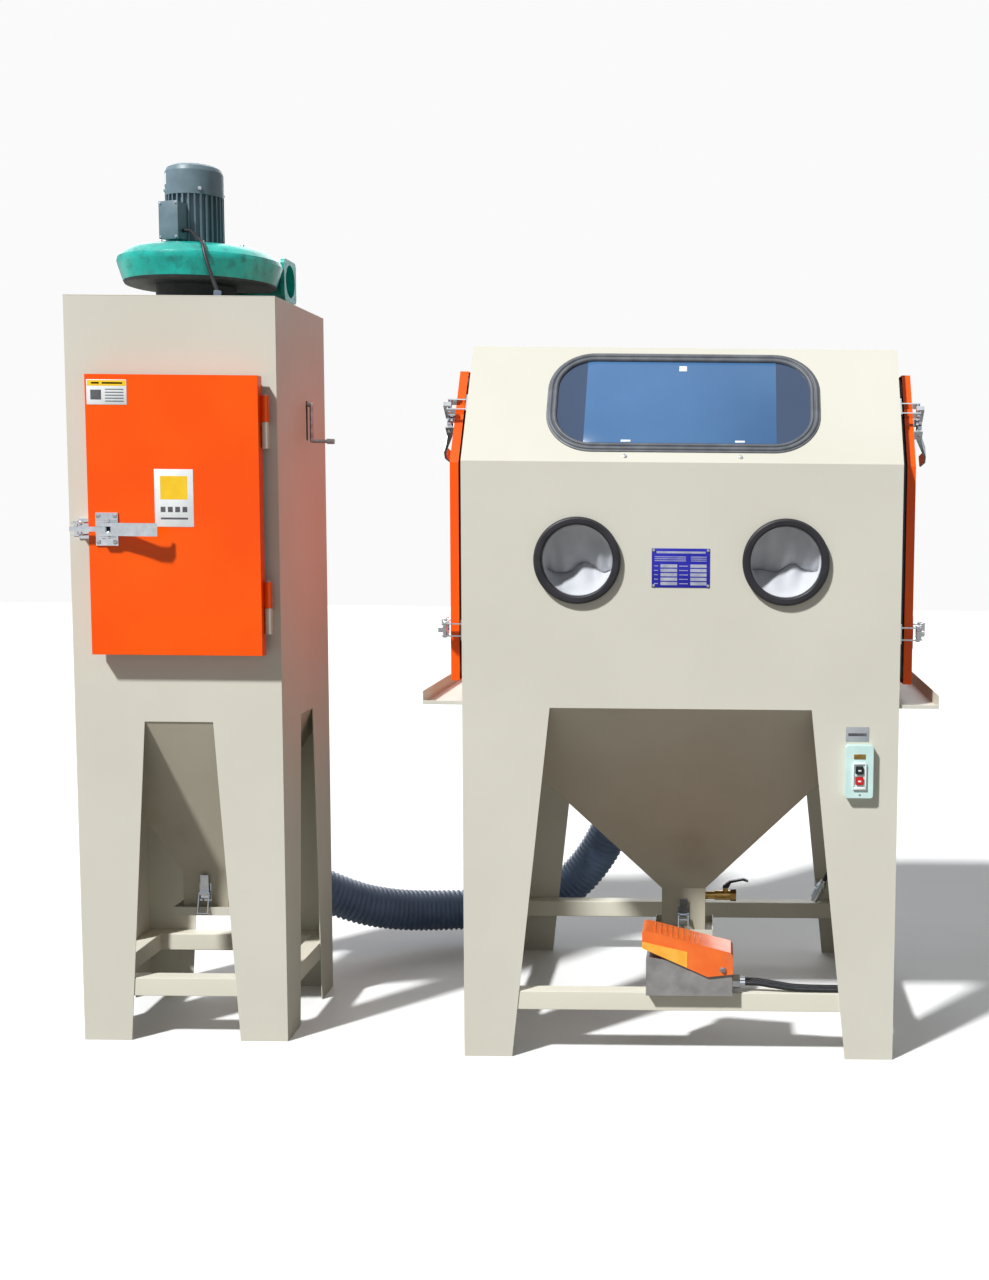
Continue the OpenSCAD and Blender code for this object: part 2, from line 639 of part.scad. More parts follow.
valve_z = 250;
module drain_valve() color("goldenrod") at_cabinet() translate([0, cab_d / 2, valve_z]) {
    translate([spout, 0, 0]) rotate([0, 90, 0]) cylinder(h = 26, r = 9);
    translate([spout + 22, 0, 0]) rotate([0, 90, 0]) difference() {
        union() {
            cylinder(h = 50, r = 11);
            translate([0, 0, 36]) cylinder(h = 14, r = 14, $fn = 6);
            translate([0, 0, 25]) rotate([0, -90, 0]) cylinder(h = 18, r = 6);
        }
        translate([0, 0, 34]) cylinder(h = 20, r = 7);
    }
    translate([spout + 47, 0, 17]) cylinder(h = 10, r = 3);
}
module valve_lever() color(dark) at_cabinet() translate([spout + 47, cab_d / 2, valve_z]) difference() {
    plate_xz(-6, 12) polygon([
        [-7, 18.4], [7, 18.4], [13, 30], [40, 36], [52, 32], [53, 36], [42, 41], [9, 35], [-7, 23]
    ]);
    translate([0, 0, 10]) cylinder(h = 40, r = 3 + turn_gap);
}

// ---- duct ----

// A folded box on a unit's back with a round spigot pointing down, its face at y = 0.
module duct_box(reach) {
    difference() {
        translate([-75, 0, 760]) cube([150, reach + 70, 140]);
        translate([-73, -1, 762]) cube([146, reach + 69, 136]);
        translate([0, reach, 750]) cylinder(h = 20, r = 48);
    }
    translate([0, reach, 700]) difference() {
        cylinder(h = 60, r = 50);
        translate([0, 0, -1]) cylinder(h = 62, r = 48);
    }
}
col_duct_reach = 151;
module duct_spigots() color(beige) {
    at_cabinet() translate([duct_x, cab_d, 0]) duct_box(duct_y);
    at_collector() translate([0, col_d, 0]) duct_box(col_duct_reach);
}
module duct_hose() color([0.2, 0.24, 0.3]) tube(duct_route, hose_r, 12, [0, 1, 0]);

// ---- dust collector body ----

module collector_front_panel() color(beige) at_collector() plate_xz(0, sheet) difference() {
    translate([-col_w / 2, 0]) square([col_w, col_h - sheet]);
    leg_opening(0, 72, 117, col_belly_z);
    translate([cdoor_l + 30, cdoor_low + 30])
        square([cdoor_r - cdoor_l - 60, cdoor_top - cdoor_low - 60]);
}
module collector_casing() color(beige) at_collector() {
    difference() {
        union() for (x = [-col_w / 2, col_w / 2 - sheet]) plate_yz(x, sheet) difference() {
            translate([sheet, 0]) square([col_d - 2 * sheet, col_h - sheet]);
            leg_opening(col_d / 2, col_d / 2 - 147, col_d / 2 - 102, col_belly_z);
        }
        translate([col_w / 2 - 5, 229, 1294]) cube([10, 14, 86]);
    }
    plate_xz(col_d - sheet, sheet) difference() {
        translate([-col_w / 2, 0]) square([col_w, col_h - sheet]);
        leg_opening(0, 72, 117, col_belly_z);
        translate([0, 830]) square([100, 80], center = true);
    }
    difference() {
        translate([-col_w / 2, 0, col_h - sheet]) cube([col_w, col_d, sheet]);
        translate([fan_x, fan_y, col_h - 10]) cylinder(h = 20, r = 70);
    }
}

bag_r = 58;
module bag_places() for (x = [-95, 95], y = [92, 304]) translate([x, y, 0]) children();
tube_sheet_z = 1440;
module tube_sheet() color("gray") at_collector() difference() {
    translate([-col_w / 2 + sheet, sheet, tube_sheet_z]) cube([col_w - 2 * sheet, col_d - 2 * sheet, 3]);
    bag_places() translate([0, 0, tube_sheet_z - 1]) cylinder(h = 5, r = bag_r - 6);
}
module filter_bags() color("ivory") at_collector() bag_places() difference() {
    translate([0, 0, 840]) cylinder(h = tube_sheet_z - 840, r = bag_r);
    translate([0, 0, 843]) cylinder(h = tube_sheet_z, r = bag_r - 3);
}

// The shaker rod slides down in the slot of the right wall, and its bent end is the grip.
shaker = [236, 1372];
shaker_drop = 80;
shaker_out = col_w / 2 + 10;
module shaker_rod() color(silver) at_collector() translate([0, shaker[0], shaker[1]]) {
    translate([-10, 0, 0]) rotate([0, 90, 0]) cylinder(h = shaker_out + 10, r = 4);
    translate([-10, -40, -3]) cube([12, 80, 6]);
    for (z = [0, -shaker_drop]) translate([shaker_out, 0, z]) sphere(r = 4);
    translate([shaker_out, 0, -shaker_drop]) cylinder(h = shaker_drop, r = 4);
    translate([shaker_out, 0, -shaker_drop]) rotate([0, 90, 0]) cylinder(h = 40, r = 4);
    translate([shaker_out + 34, 0, -shaker_drop]) rotate([0, 90, 0]) cylinder(h = 16, r = 6);
}

// ---- fan and motor ----

module at_fan() at_collector() translate([fan_x, fan_y, 0]) children();
cavity_r = 128;
plate_t = 7;
fan_shift = 10;
rim_line = [
    [150, fan_z0], [157, fan_z0 + 2], [160, fan_z0 + 8], [fan_r - 2, fan_z0 + 40], [fan_r, fan_z0 + 48],
    [fan_r - 2, fan_z0 + 56], [fan_r - 9, fan_z1 - 15], [fan_r - 20, fan_z1 - 6], [fan_r - 34, fan_z1]
];
module fan_outline() translate([fan_shift, 0, 0])
    rotate_extrude() polygon(concat([[0, fan_z0]], rim_line, [[0, fan_z1]]));
module outlet_pipe(from, to, r) translate([from, outlet_y, outlet_z]) rotate([0, 90, 0])
    cylinder(h = to - from, r = r);

// The inlet plate under the housing and the neck that stands on the collector, in four quarters.
module fan_base() color(dark) at_fan() difference() {
    union() {
        intersection() {
            fan_outline();
            translate([0, 0, fan_z0]) cylinder(h = plate_t, r = 200);
        }
        translate([0, 0, col_h]) cylinder(h = fan_z0 - col_h, r = 84);
    }
    translate([0, 0, col_h - 1]) cylinder(h = fan_z0 - col_h + 1, r = 70);
    translate([0, 0, fan_z0 - 1]) cylinder(h = 20, r = 62);
    outlet_pipe(20, 180, outlet_r + 4.4);
    for (a = [45, 135]) rotate([0, 0, a]) translate([-200, -seam / 2, col_h - 1]) cube([400, seam, 80]);
}
module fan_housing() color([0, 0.65, 0.55]) at_fan() difference() {
    union() {
        difference() {
            fan_outline();
            cylinder(h = fan_z0 + plate_t, r = 220);
        }
        outlet_pipe(40, outlet_x, outlet_r + 4);
        translate([outlet_x - 9, outlet_y, outlet_z]) rotate([90, 0, 90]) linear_extrude(9)
            round_rect(96, 92, 12);
        translate([0, 0, fan_z1 - 2]) cylinder(h = motor_z0 - fan_z1 + 2, r = 68);
    }
    translate([0, 0, fan_z0 - 10]) cylinder(h = fan_z1 - fan_z0 + 3, r = cavity_r);
    outlet_pipe(50, 101, outlet_r - 6);
    outlet_pipe(100, 190, outlet_r);
    translate([0, 0, fan_z1 - 20]) cylinder(h = 60, r = 14);
}

shaft_r = 9;
module fan_impeller() color("silver") at_fan() translate([0, 0, fan_z0 + 14]) difference() {
    union() {
        cylinder(h = 4, r = 118);
        cylinder(h = 42, r = 26);
        for (i = [0 : 9]) rotate([0, 0, 36 * i])
            translate([62, -2, 0]) rotate([0, 0, 24]) cube([52, 4, 46]);
    }
    translate([0, 0, -1]) cylinder(h = 80, r = shaft_r);
}
module motor_shaft() color("silver") at_fan() {
    translate([0, 0, fan_z0 + 14]) cylinder(h = motor_z1 + 24 - fan_z0 - 14, r = shaft_r);
    translate([0, 0, motor_z1 + 8]) difference() {
        union() {
            cylinder(h = 4, r = 48);
            for (i = [0 : 6]) rotate([0, 0, 360 * i / 7])
                translate([14, -1.5, 0]) cube([34, 3, 22]);
        }
        translate([0, 0, -1]) cylinder(h = 40, r = shaft_r);
    }
}
module motor_body() color([0.24, 0.28, 0.32]) at_fan() {
    difference() {
        union() {
            translate([0, 0, motor_z0]) cylinder(h = motor_z1 - motor_z0, r = motor_r - 7);
            translate([0, 0, motor_z0]) cylinder(h = 8, r = 64);
            for (i = [0 : 29]) rotate([0, 0, 12 * i])
                translate([motor_r - 9, -1.75, motor_z0 + 8]) cube([9, 3.5, motor_z1 - motor_z0 - 16.5]);
            rotate([0, 0, -20]) translate([-23, -84, motor_z0 + 13]) cube([46, 44, 76]);
        }
        translate([0, 0, motor_z0 - 1]) cylinder(h = 140, r = shaft_r + turn_gap);
    }
}
module motor_cowl() color([0.24, 0.28, 0.32]) at_fan() rotate_extrude() polygon([
    [motor_r - 6.8, motor_z1 - 8], [motor_r, motor_z1 - 8], [motor_r, cowl_z1 - 16],
    [motor_r - 5, cowl_z1 - 5],
    [motor_r - 14, cowl_z1], [0, cowl_z1], [0, cowl_z1 - 2.5], [motor_r - 15, cowl_z1 - 2.5],
    [motor_r - 8, cowl_z1 - 7], [motor_r - 3, cowl_z1 - 17], [motor_r - 3, motor_z1],
    [motor_r - 6.8, motor_z1]
]);
module motor_cable() color("black") tube(cable_route, cable_r, 8, [1, 0, 0]);

front_panel();
left_side_panel();
right_side_panel();
back_panel();
floor_rails();
hopper();
hopper_cap();
hopper_latch_lever();
hopper_latch_bail();
cap_brackets();
left_door();
right_door();
hinge_barrels();
door_seals();
left_latch_bases();
right_latch_bases();
latch_keepers();
left_upper_lever();
left_lower_lever();
right_upper_lever();
right_lower_lever();
glove_rings();
gloves();
window_seal();
window_glass();
work_grate();
blast_gun();
lamp();
side_trays();
switch_box();
start_button();
stop_button();
pedal_base();
pedal_treadle();
line_fittings();
supply_hose();
gun_hose();
drain_valve();
valve_lever();
duct_hose();
duct_spigots();
collector_front_panel();
collector_casing();
collector_hopper();
collector_cap();
collector_cap_lever();
collector_cap_bail();
collector_door();
collector_latch_base();
collector_lever();
filter_bags();
tube_sheet();
shaker_rod();
fan_base();
fan_housing();
fan_impeller();
motor_shaft();
motor_body();
motor_cowl();
motor_cable();
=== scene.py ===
"""Looks of the sandblast cabinet and its dust collector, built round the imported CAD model."""
import json
import math

import bmesh
import bpy
from mathutils import Matrix, Vector, noise


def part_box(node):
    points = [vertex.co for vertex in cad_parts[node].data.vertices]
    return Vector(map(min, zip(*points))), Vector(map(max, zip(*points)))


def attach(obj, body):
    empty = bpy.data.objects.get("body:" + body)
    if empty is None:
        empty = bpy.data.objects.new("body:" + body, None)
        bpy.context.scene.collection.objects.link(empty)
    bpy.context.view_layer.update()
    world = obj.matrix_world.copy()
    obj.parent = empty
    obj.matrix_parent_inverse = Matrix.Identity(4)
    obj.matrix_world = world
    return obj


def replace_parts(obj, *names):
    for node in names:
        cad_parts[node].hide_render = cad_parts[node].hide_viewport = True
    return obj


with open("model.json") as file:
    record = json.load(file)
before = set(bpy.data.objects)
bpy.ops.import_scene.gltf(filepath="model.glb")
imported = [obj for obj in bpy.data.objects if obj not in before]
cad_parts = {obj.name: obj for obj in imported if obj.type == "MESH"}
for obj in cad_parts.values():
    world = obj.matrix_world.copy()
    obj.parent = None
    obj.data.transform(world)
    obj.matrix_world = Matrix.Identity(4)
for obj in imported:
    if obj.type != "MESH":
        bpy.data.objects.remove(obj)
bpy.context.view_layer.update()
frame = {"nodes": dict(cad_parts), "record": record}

MM = 0.001
X, Y, Z = Vector((1, 0, 0)), Vector((0, 1, 0)), Vector((0, 0, 1))


def middle_front(node):
    """The point on the floor under the middle of a front panel."""
    low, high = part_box(node)
    return Vector(((low.x + high.x) / 2, low.y, 0))


CAB = middle_front("front_panel")
COL = middle_front("collector_front_panel")


def at_cab(x, y, z):
    """A point given in millimetres from the cabinet's middle, front and floor."""
    return CAB + Vector((x, y, z)) * MM


def at_col(x, y, z):
    """A point given in millimetres from the collector's middle, front and floor."""
    return COL + Vector((x, y, z)) * MM


# ---- camera ----

PHOTO_LONG_SIDE = 1280
FOCAL_LENGTH = 1580.9
SENSOR = 36
EYE = (87.5, -3230.4, 1159.1)
LOOK_DOWN = 0.0958
ROLL = 0.0092
camera_data = bpy.data.cameras.new("camera")
camera_data.sensor_width = SENSOR
camera_data.lens = FOCAL_LENGTH / PHOTO_LONG_SIDE * SENSOR
camera_data.shift_x = -0.179
camera_data.shift_y = 0.0132
camera_data.clip_end = 60
camera = bpy.data.objects.new("camera", camera_data)
bpy.context.scene.collection.objects.link(camera)
camera.matrix_world = (
    Matrix.Translation(at_cab(*EYE))
    @ Matrix.Rotation(math.pi / 2 - LOOK_DOWN, 4, "X")
    @ Matrix.Rotation(ROLL, 4, "Z")
)
bpy.context.scene.camera = camera


# ---- materials ----


def srgb(*values):
    """A colour given in 0 to 255, as the linear colour that shaders take."""
    out = [v / 255 for v in values]
    return tuple(v / 12.92 if v <= 0.04045 else ((v + 0.055) / 1.055) ** 2.4 for v in out)


class Finish:
    """A procedural material, put together one layer at a time."""

    def __init__(self, name, rough, **sockets):
        self.material = bpy.data.materials.new(name)
        self.material.use_nodes = True
        self.tree = self.material.node_tree
        self.shader = self.tree.nodes["Principled BSDF"]
        self.coords = self.new("ShaderNodeTexCoord").outputs["Object"]
        self.normal = None
        self.shader.inputs["Roughness"].default_value = rough
        for key, value in sockets.items():
            self.shader.inputs[key.replace("_", " ")].default_value = value

    def new(self, kind, **values):
        node = self.tree.nodes.new(kind)
        for key, value in values.items():
            if key in ("bands_direction", "data_type"):
                setattr(node, key, value)
            else:
                node.inputs[key].default_value = value
        return node

    def link(self, a, b):
        self.tree.links.new(a, b)

    def noise(self, scale, detail=3.0, stretch=None):
        node = self.new("ShaderNodeTexNoise", Scale=scale, Detail=detail)
        place = self.coords
        if stretch:
            mapping = self.new("ShaderNodeMapping", Scale=stretch)
            self.link(place, mapping.inputs["Vector"])
            place = mapping.outputs[0]
        self.link(place, node.inputs["Vector"])
        return node.outputs["Fac"]

    def ramp(self, factor, stops):
        node = self.new("ShaderNodeValToRGB")
        line = node.color_ramp
        while len(line.elements) < len(stops):
            line.elements.new(0.5)
        for element, (at, colour) in zip(line.elements, stops):
            element.position = at
            element.color = (*colour[:3], 1)
        self.link(factor, node.inputs["Fac"])
        return node.outputs["Color"]

    def colour(self, a, b, scale, low=0.35, high=0.65, stretch=None):
        mixed = self.ramp(self.noise(scale, 4.0, stretch), [(low, a), (high, b)])
        self.link(mixed, self.shader.inputs["Base Color"])
        return self

    def dust_and_painted_shade(self, colour, scale, low, high):
        """Patches of another colour over what is there; on the hoppers the patches are painted shade."""
        mix = self.new("ShaderNodeMix", data_type="RGBA")
        mask = self.ramp(self.noise(scale, 6.0), [(low, (0, 0, 0)), (high, (1, 1, 1))])
        self.link(mask, mix.inputs["Factor"])
        under = self.shader.inputs["Base Color"].links[0].from_socket
        self.link(under, mix.inputs[6])
        mix.inputs[7].default_value = (*colour[:3], 1)
        self.link(mix.outputs[2], self.shader.inputs["Base Color"])
        return self

    def roughness(self, low, high, scale, stretch=None):
        node = self.new("ShaderNodeMapRange")
        node.inputs["To Min"].default_value = low
        node.inputs["To Max"].default_value = high
        self.link(self.noise(scale, 4.0, stretch), node.inputs["Value"])
        self.link(node.outputs[0], self.shader.inputs["Roughness"])
        return self

    def bump(self, height, distance):
        node = self.new("ShaderNodeBump", Distance=distance)
        self.link(height, node.inputs["Height"])
        if self.normal:
            self.link(self.normal, node.inputs["Normal"])
        self.normal = node.outputs[0]
        self.link(self.normal, self.shader.inputs["Normal"])
        return self

    def grain(self, scale, distance, detail=2.0, stretch=None):
        return self.bump(self.noise(scale, detail, stretch), distance)

    def weave(self, scale, distance):
        for direction in ("X", "Y", "Z"):
            wave = self.new("ShaderNodeTexWave", bands_direction=direction, Scale=scale, Distortion=0.6)
            self.link(self.coords, wave.inputs["Vector"])
            self.bump(wave.outputs["Fac"], distance)
        return self


def beige_paint(name, colour, darker):
    """Powder coat: a very fine orange peel over slightly wavy sheet."""
    made = Finish(name, 0.55, Specular_IOR_Level=0.3)
    made.colour(srgb(*darker), srgb(*colour), 3.0, 0.3, 0.7)
    made.roughness(0.48, 0.62, 9.0).grain(900, 0.00006).grain(5.0, 0.0009)
    return made


BEIGE = beige_paint("beige_paint", (214, 211, 198), (208, 205, 191)).material
RAIL_BEIGE = beige_paint("rail_paint", (224, 220, 204), (216, 212, 196)).material
# Painted shade: the hoppers get a darker copy of the cabinet beige with brownish patches, standing in for
# the shade that falls on them.
HOPPER_BEIGE_PAINTED_SHADE = (
    beige_paint("hopper_paint_painted_shade", (196, 190, 172), (184, 177, 158))
    .dust_and_painted_shade(srgb(150, 132, 108), 2.2, 0.56, 0.8)
    .material
)
ORANGE = (
    Finish("orange_enamel", 0.34, Specular_IOR_Level=0.25, Coat_Weight=0.12, Coat_Roughness=0.12)
    .colour(srgb(252, 82, 0), srgb(255, 92, 0), 4.0)
    .roughness(0.26, 0.36, 8.0)
    .grain(500, 0.00005)
    .grain(4.0, 0.0008)
    .material
)
CHROME = (
    Finish("chrome_plate", 0.12, Metallic=1.0)
    .colour(srgb(206, 211, 217), srgb(222, 226, 230), 60.0)
    .roughness(0.03, 0.1, 45.0)
    .grain(90, 0.00005)
    .material
)
ZINC = (
    Finish("zinc_steel", 0.35, Metallic=1.0)
    .colour(srgb(150, 154, 158), srgb(188, 190, 192), 90.0)
    .roughness(0.26, 0.48, 70.0)
    .grain(420, 0.00006, stretch=(1, 1, 0.15))
    .material
)
SEAL = (
    Finish("seal_rubber", 0.55)
    .colour(srgb(78, 82, 88), srgb(98, 102, 108), 30.0)
    .roughness(0.4, 0.6, 40.0)
    .grain(1200, 0.00006)
    .material
)
RING = (
    Finish("ring_plastic", 0.42, Specular_IOR_Level=0.4)
    .colour(srgb(34, 33, 37), srgb(46, 44, 49), 25.0)
    .roughness(0.34, 0.5, 60.0)
    .grain(700, 0.00008)
    .material
)
BLACK = (
    Finish("black_plastic", 0.35)
    .colour(srgb(22, 22, 24), srgb(34, 34, 37), 40.0)
    .roughness(0.28, 0.42, 60.0)
    .grain(900, 0.00004)
    .material
)
HOSE = (
    Finish("hose_rubber", 0.45)
    .colour(srgb(24, 24, 27), srgb(38, 39, 43), 60.0)
    .roughness(0.36, 0.55, 80.0)
    .grain(1500, 0.00005)
    .material
)
DUCT = (
    Finish("duct_plastic", 0.4, Specular_IOR_Level=0.6)
    .colour(srgb(84, 106, 140), srgb(102, 124, 158), 14.0)
    .roughness(0.3, 0.5, 50.0)
    .grain(500, 0.00008)
    .dust_and_painted_shade(srgb(120, 124, 130), 6.0, 0.6, 0.85)
    .material
)
CLOTH = (
    Finish("glove_cloth", 0.85, Sheen_Weight=0.3, Sheen_Roughness=0.5)
    .colour(srgb(194, 197, 203), srgb(216, 218, 222), 12.0)
    .weave(260, 0.00012)
    .grain(30, 0.0012, 4.0)
    .material
)
FELT = (
    Finish("filter_cloth", 0.95, Sheen_Weight=0.4, Sheen_Roughness=0.6)
    .colour(srgb(205, 196, 172), srgb(226, 219, 198), 9.0)
    .grain(900, 0.0003, 4.0)
    .dust_and_painted_shade(srgb(150, 140, 120), 3.0, 0.55, 0.8)
    .material
)
LAMP = (
    Finish("lamp_cover", 0.35)
    .colour(srgb(232, 232, 228), srgb(244, 244, 240), 20.0)
    .grain(600, 0.00005)
    .material
)
MINT = (
    Finish("mint_plastic", 0.34)
    .colour(srgb(196, 226, 222), srgb(210, 238, 234), 20.0)
    .roughness(0.28, 0.4, 40.0)
    .grain(700, 0.00004)
    .material
)
WHITE = (
    Finish("white_plastic", 0.38)
    .colour(srgb(226, 230, 230), srgb(240, 243, 243), 30.0)
    .grain(700, 0.00004)
    .material
)
RED = (
    Finish("red_plastic", 0.32)
    .colour(srgb(196, 20, 22), srgb(216, 32, 30), 60.0)
    .grain(800, 0.00003)
    .material
)
CAST = (
    Finish("grey_casting", 0.5, Metallic=0.6)
    .colour(srgb(92, 94, 98), srgb(122, 124, 128), 40.0)
    .roughness(0.4, 0.62, 50.0)
    .grain(260, 0.0004, 5.0)
    .material
)
DARK_CAST = (
    Finish("dark_casting", 0.6)
    .colour(srgb(34, 38, 40), srgb(52, 56, 58), 30.0)
    .roughness(0.5, 0.7, 50.0)
    .grain(260, 0.0003, 4.0)
    .material
)
PEDAL_GREY = (
    Finish("pedal_casting", 0.5)
    .colour(srgb(128, 126, 124), srgb(150, 148, 146), 30.0)
    .roughness(0.4, 0.6, 50.0)
    .grain(260, 0.0003, 4.0)
    .material
)
PEDAL_ORANGE = (
    Finish("pedal_enamel", 0.34, Coat_Weight=0.4, Coat_Roughness=0.15)
    .colour(srgb(244, 104, 34), srgb(252, 122, 46), 18.0)
    .roughness(0.28, 0.42, 30.0)
    .grain(300, 0.00015, 3.0)
    .dust_and_painted_shade(srgb(226, 120, 70), 26.0, 0.6, 0.8)
    .material
)
AMBER = (
    Finish("amber_edge", 0.4)
    .colour(srgb(252, 170, 50), srgb(255, 188, 74), 40.0)
    .grain(300, 0.0001, 3.0)
    .material
)
BRASS = (
    Finish("brass", 0.28, Metallic=1.0)
    .colour(srgb(176, 140, 76), srgb(206, 172, 104), 50.0)
    .roughness(0.2, 0.4, 60.0)
    .grain(300, 0.00005)
    .material
)
TEAL = (
    Finish("teal_enamel", 0.34, Coat_Weight=0.4, Coat_Roughness=0.2)
    .colour(srgb(0, 156, 144), srgb(20, 206, 190), 9.0, 0.35, 0.7)
    .roughness(0.28, 0.46, 40.0)
    .grain(160, 0.0006, 3.0)
    .dust_and_painted_shade(srgb(20, 132, 124), 46.0, 0.5, 0.75)
    .dust_and_painted_shade(srgb(88, 116, 100), 4.0, 0.6, 0.85)
    .material
)
SLATE = (
    Finish("slate_enamel", 0.42)
    .colour(srgb(94, 114, 124), srgb(112, 132, 142), 18.0)
    .roughness(0.34, 0.5, 40.0)
    .grain(300, 0.0002, 4.0)
    .material
)
GLASS = (
    Finish("window_glass", 0.05, Transmission_Weight=0.3, IOR=1.5, Coat_Weight=0.5, Coat_Roughness=0.03)
    .colour(srgb(46, 72, 108), srgb(56, 84, 122), 2.0)
    .roughness(0.03, 0.08, 8.0)
    .grain(3.0, 0.0004)
    .material
)
FILM = (
    Finish("window_film", 0.08, Specular_IOR_Level=0.3, Coat_Weight=0.1, Coat_Roughness=0.04)
    .colour(srgb(66, 104, 148), srgb(80, 120, 164), 3.0, 0.3, 0.7)
    .roughness(0.06, 0.1, 12.0)
    .grain(24, 0.00006, 3.0)
    .material
)
GREY_LABEL = (
    Finish("grey_label", 0.5)
    .colour(srgb(150, 152, 156), srgb(162, 164, 168), 30.0)
    .grain(600, 0.00003)
    .material
)
INK = (
    Finish("grey_ink", 0.6)
    .colour(srgb(70, 70, 76), srgb(92, 92, 98), 80.0)
    .grain(600, 0.00002)
    .material
)
YELLOW = (
    Finish("yellow_ink", 0.5)
    .colour(srgb(244, 196, 20), srgb(250, 208, 40), 40.0)
    .grain(600, 0.00002)
    .material
)
BLUE = (
    Finish("blue_plate", 0.35, Coat_Weight=0.4, Coat_Roughness=0.15)
    .colour(srgb(16, 14, 150), srgb(30, 26, 172), 20.0)
    .grain(500, 0.00004)
    .material
)
PALE_METAL = (
    Finish("pale_plate_metal", 0.4, Metallic=0.6)
    .colour(srgb(176, 180, 196), srgb(206, 208, 220), 60.0)
    .grain(500, 0.00003)
    .material
)


# ---- building helpers ----


def frame_at(origin, up, across=X):
    """A placing matrix with its z axis along up and its x axis as near to across as it can be."""
    up = Vector(up).normalized()
    side = (Vector(across) - Vector(across).project(up)).normalized()
    turn = Matrix((side, up.cross(side), up)).transposed().to_4x4()
    return Matrix.Translation(origin) @ turn


def around(r, k, count):
    """x and y of step k of count round a circle."""
    a = 2 * math.pi * k / count
    return r * math.cos(a), r * math.sin(a)


def smooth_line(points, step):
    """Points every step along a smooth curve through the given ones, and its length."""
    samples = 24
    p = [Vector(q) for q in points]
    ends = [2 * p[0] - p[1], *p, 2 * p[-1] - p[-2]]
    dense = []
    for a, b, c, d in zip(ends, ends[1:], ends[2:], ends[3:]):
        square = 2 * a - 5 * b + 4 * c - d
        cube = 3 * b - a - 3 * c + d
        for k in range(samples):
            t = k / samples
            dense.append(0.5 * (2 * b + (c - a) * t + square * t * t + cube * t**3))
    dense.append(p[-1])
    total = sum((b - a).length for a, b in zip(dense, dense[1:]))
    count = max(2, round(total / step))
    out, gone, target = [dense[0].copy()], 0.0, total / count
    for a, b in zip(dense, dense[1:]):
        length = (b - a).length
        while target <= gone + length + 1e-9 and len(out) < count:
            out.append(a.lerp(b, (target - gone) / length))
            target = total / count * len(out)
        gone += length
    out.append(p[-1])
    return out, total


def moving_frames(line, first):
    """A side and an up vector at each point of a line, without twist."""
    out, side = [], Vector(first)
    for i in range(len(line)):
        along = (line[min(i + 1, len(line) - 1)] - line[max(i - 1, 0)]).normalized()
        side = (side - side.project(along)).normalized()
        out.append((side.copy(), along.cross(side)))
    return out


class Parts:
    """Gathers shapes into one mesh."""

    def __init__(self):
        self.bm = bmesh.new()

    def ring_surface(self, rings, caps=True, looped=False):
        """Skins rings of points, one after the other, and back to the first where looped."""
        made = [[self.bm.verts.new(p) for p in ring] for ring in rings]
        n = len(made[0])
        after = made[1:] + made[:1] if looped else made[1:]
        for a, b in zip(made, after):
            for k in range(n):
                j = (k + 1) % n
                self.bm.faces.new((a[k], a[j], b[j], b[k]))
        if caps:
            self.bm.faces.new(list(reversed(made[0])))
            self.bm.faces.new(made[-1])
        return self

    def lathe(self, place, line, count=32, closed=False):
        """Turns a line of (radius, height) about the placing matrix's z axis."""
        rings = [[place @ Vector((*around(r, k, count), h)) for k in range(count)] for r, h in line]
        return self.ring_surface(rings, caps=not closed, looped=closed)

    def block(self, place, low, high, r=0.0008, segments=2):
        """A block with rounded edges, given by two corners in the placing matrix."""
        low, high = Vector(low), Vector(high)
        made = bmesh.ops.create_cube(self.bm, size=1)["verts"]
        for v in made:
            v.co = place @ Vector([low[i] + (v.co[i] + 0.5) * (high[i] - low[i]) for i in range(3)])
        edges = {e for v in made for e in v.link_edges}
        r = min(r, min(high[i] - low[i] for i in range(3)) * 0.45)
        bmesh.ops.bevel(self.bm, geom=list(edges), offset=r, segments=segments, profile=0.5, affect="EDGES")
        return self

    def tube(self, line, r, sides, first):
        """A round rod along a line; first is the side vector that its frames start from."""
        turns = [around(1, k, sides) for k in range(sides)]
        rings = []
        for p, (a, b) in zip(line, moving_frames(line, first)):
            rings.append([p + r * (x * a + y * b) for x, y in turns])
        return self.ring_surface(rings)

    def screw(self, at, out, r=0.004, height=0.0026):
        """A pan-head screw with a hexagon socket."""
        place = frame_at(at, out)
        self.lathe(place, [(r, 0), (r, height * 0.45), (r * 0.86, height * 0.85), (r * 0.6, height)], 24)
        return self.lathe(place, [(r * 0.5, height * 1.06), (r * 0.42, height * 1.1)], 6)

    def bolt(self, at, out, r=0.006, height=0.005):
        """A hexagon head on a washer."""
        place = frame_at(at, out)
        self.lathe(place, [(r * 1.35, 0), (r * 1.35, height * 0.22), (r * 1.25, height * 0.28)], 24)
        self.lathe(place, [(r, height * 0.28), (r, height * 0.86), (r * 0.86, height)], 6)
        return self

    def done(self, name, material, body, slot, angle=40):
        bmesh.ops.recalc_face_normals(self.bm, faces=self.bm.faces)
        mesh = bpy.data.meshes.new(name)
        self.bm.to_mesh(mesh)
        self.bm.free()
        return finish_piece(name, mesh, material, body, angle)


def finish_piece(name, mesh, material, body, angle=40):
    """Makes a piece of a mesh, with its material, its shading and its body."""
    piece = bpy.data.objects.new(name, mesh)
    bpy.context.scene.collection.objects.link(piece)
    mesh.polygons.foreach_set("use_smooth", [True] * len(mesh.polygons))
    mesh.set_sharp_from_angle(angle=math.radians(angle))
    mesh.materials.append(material)
    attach(piece, body)
    return piece


def thicken(piece, thickness):
    """Gives a cloth piece its real thickness."""
    solid = piece.modifiers.new("thickness", "SOLIDIFY")
    solid.thickness = thickness
    solid.offset = -1


NODE_BODY = {n: b for b, ns in frame["record"]["behaviour"]["bodies"].items() for n in ns}


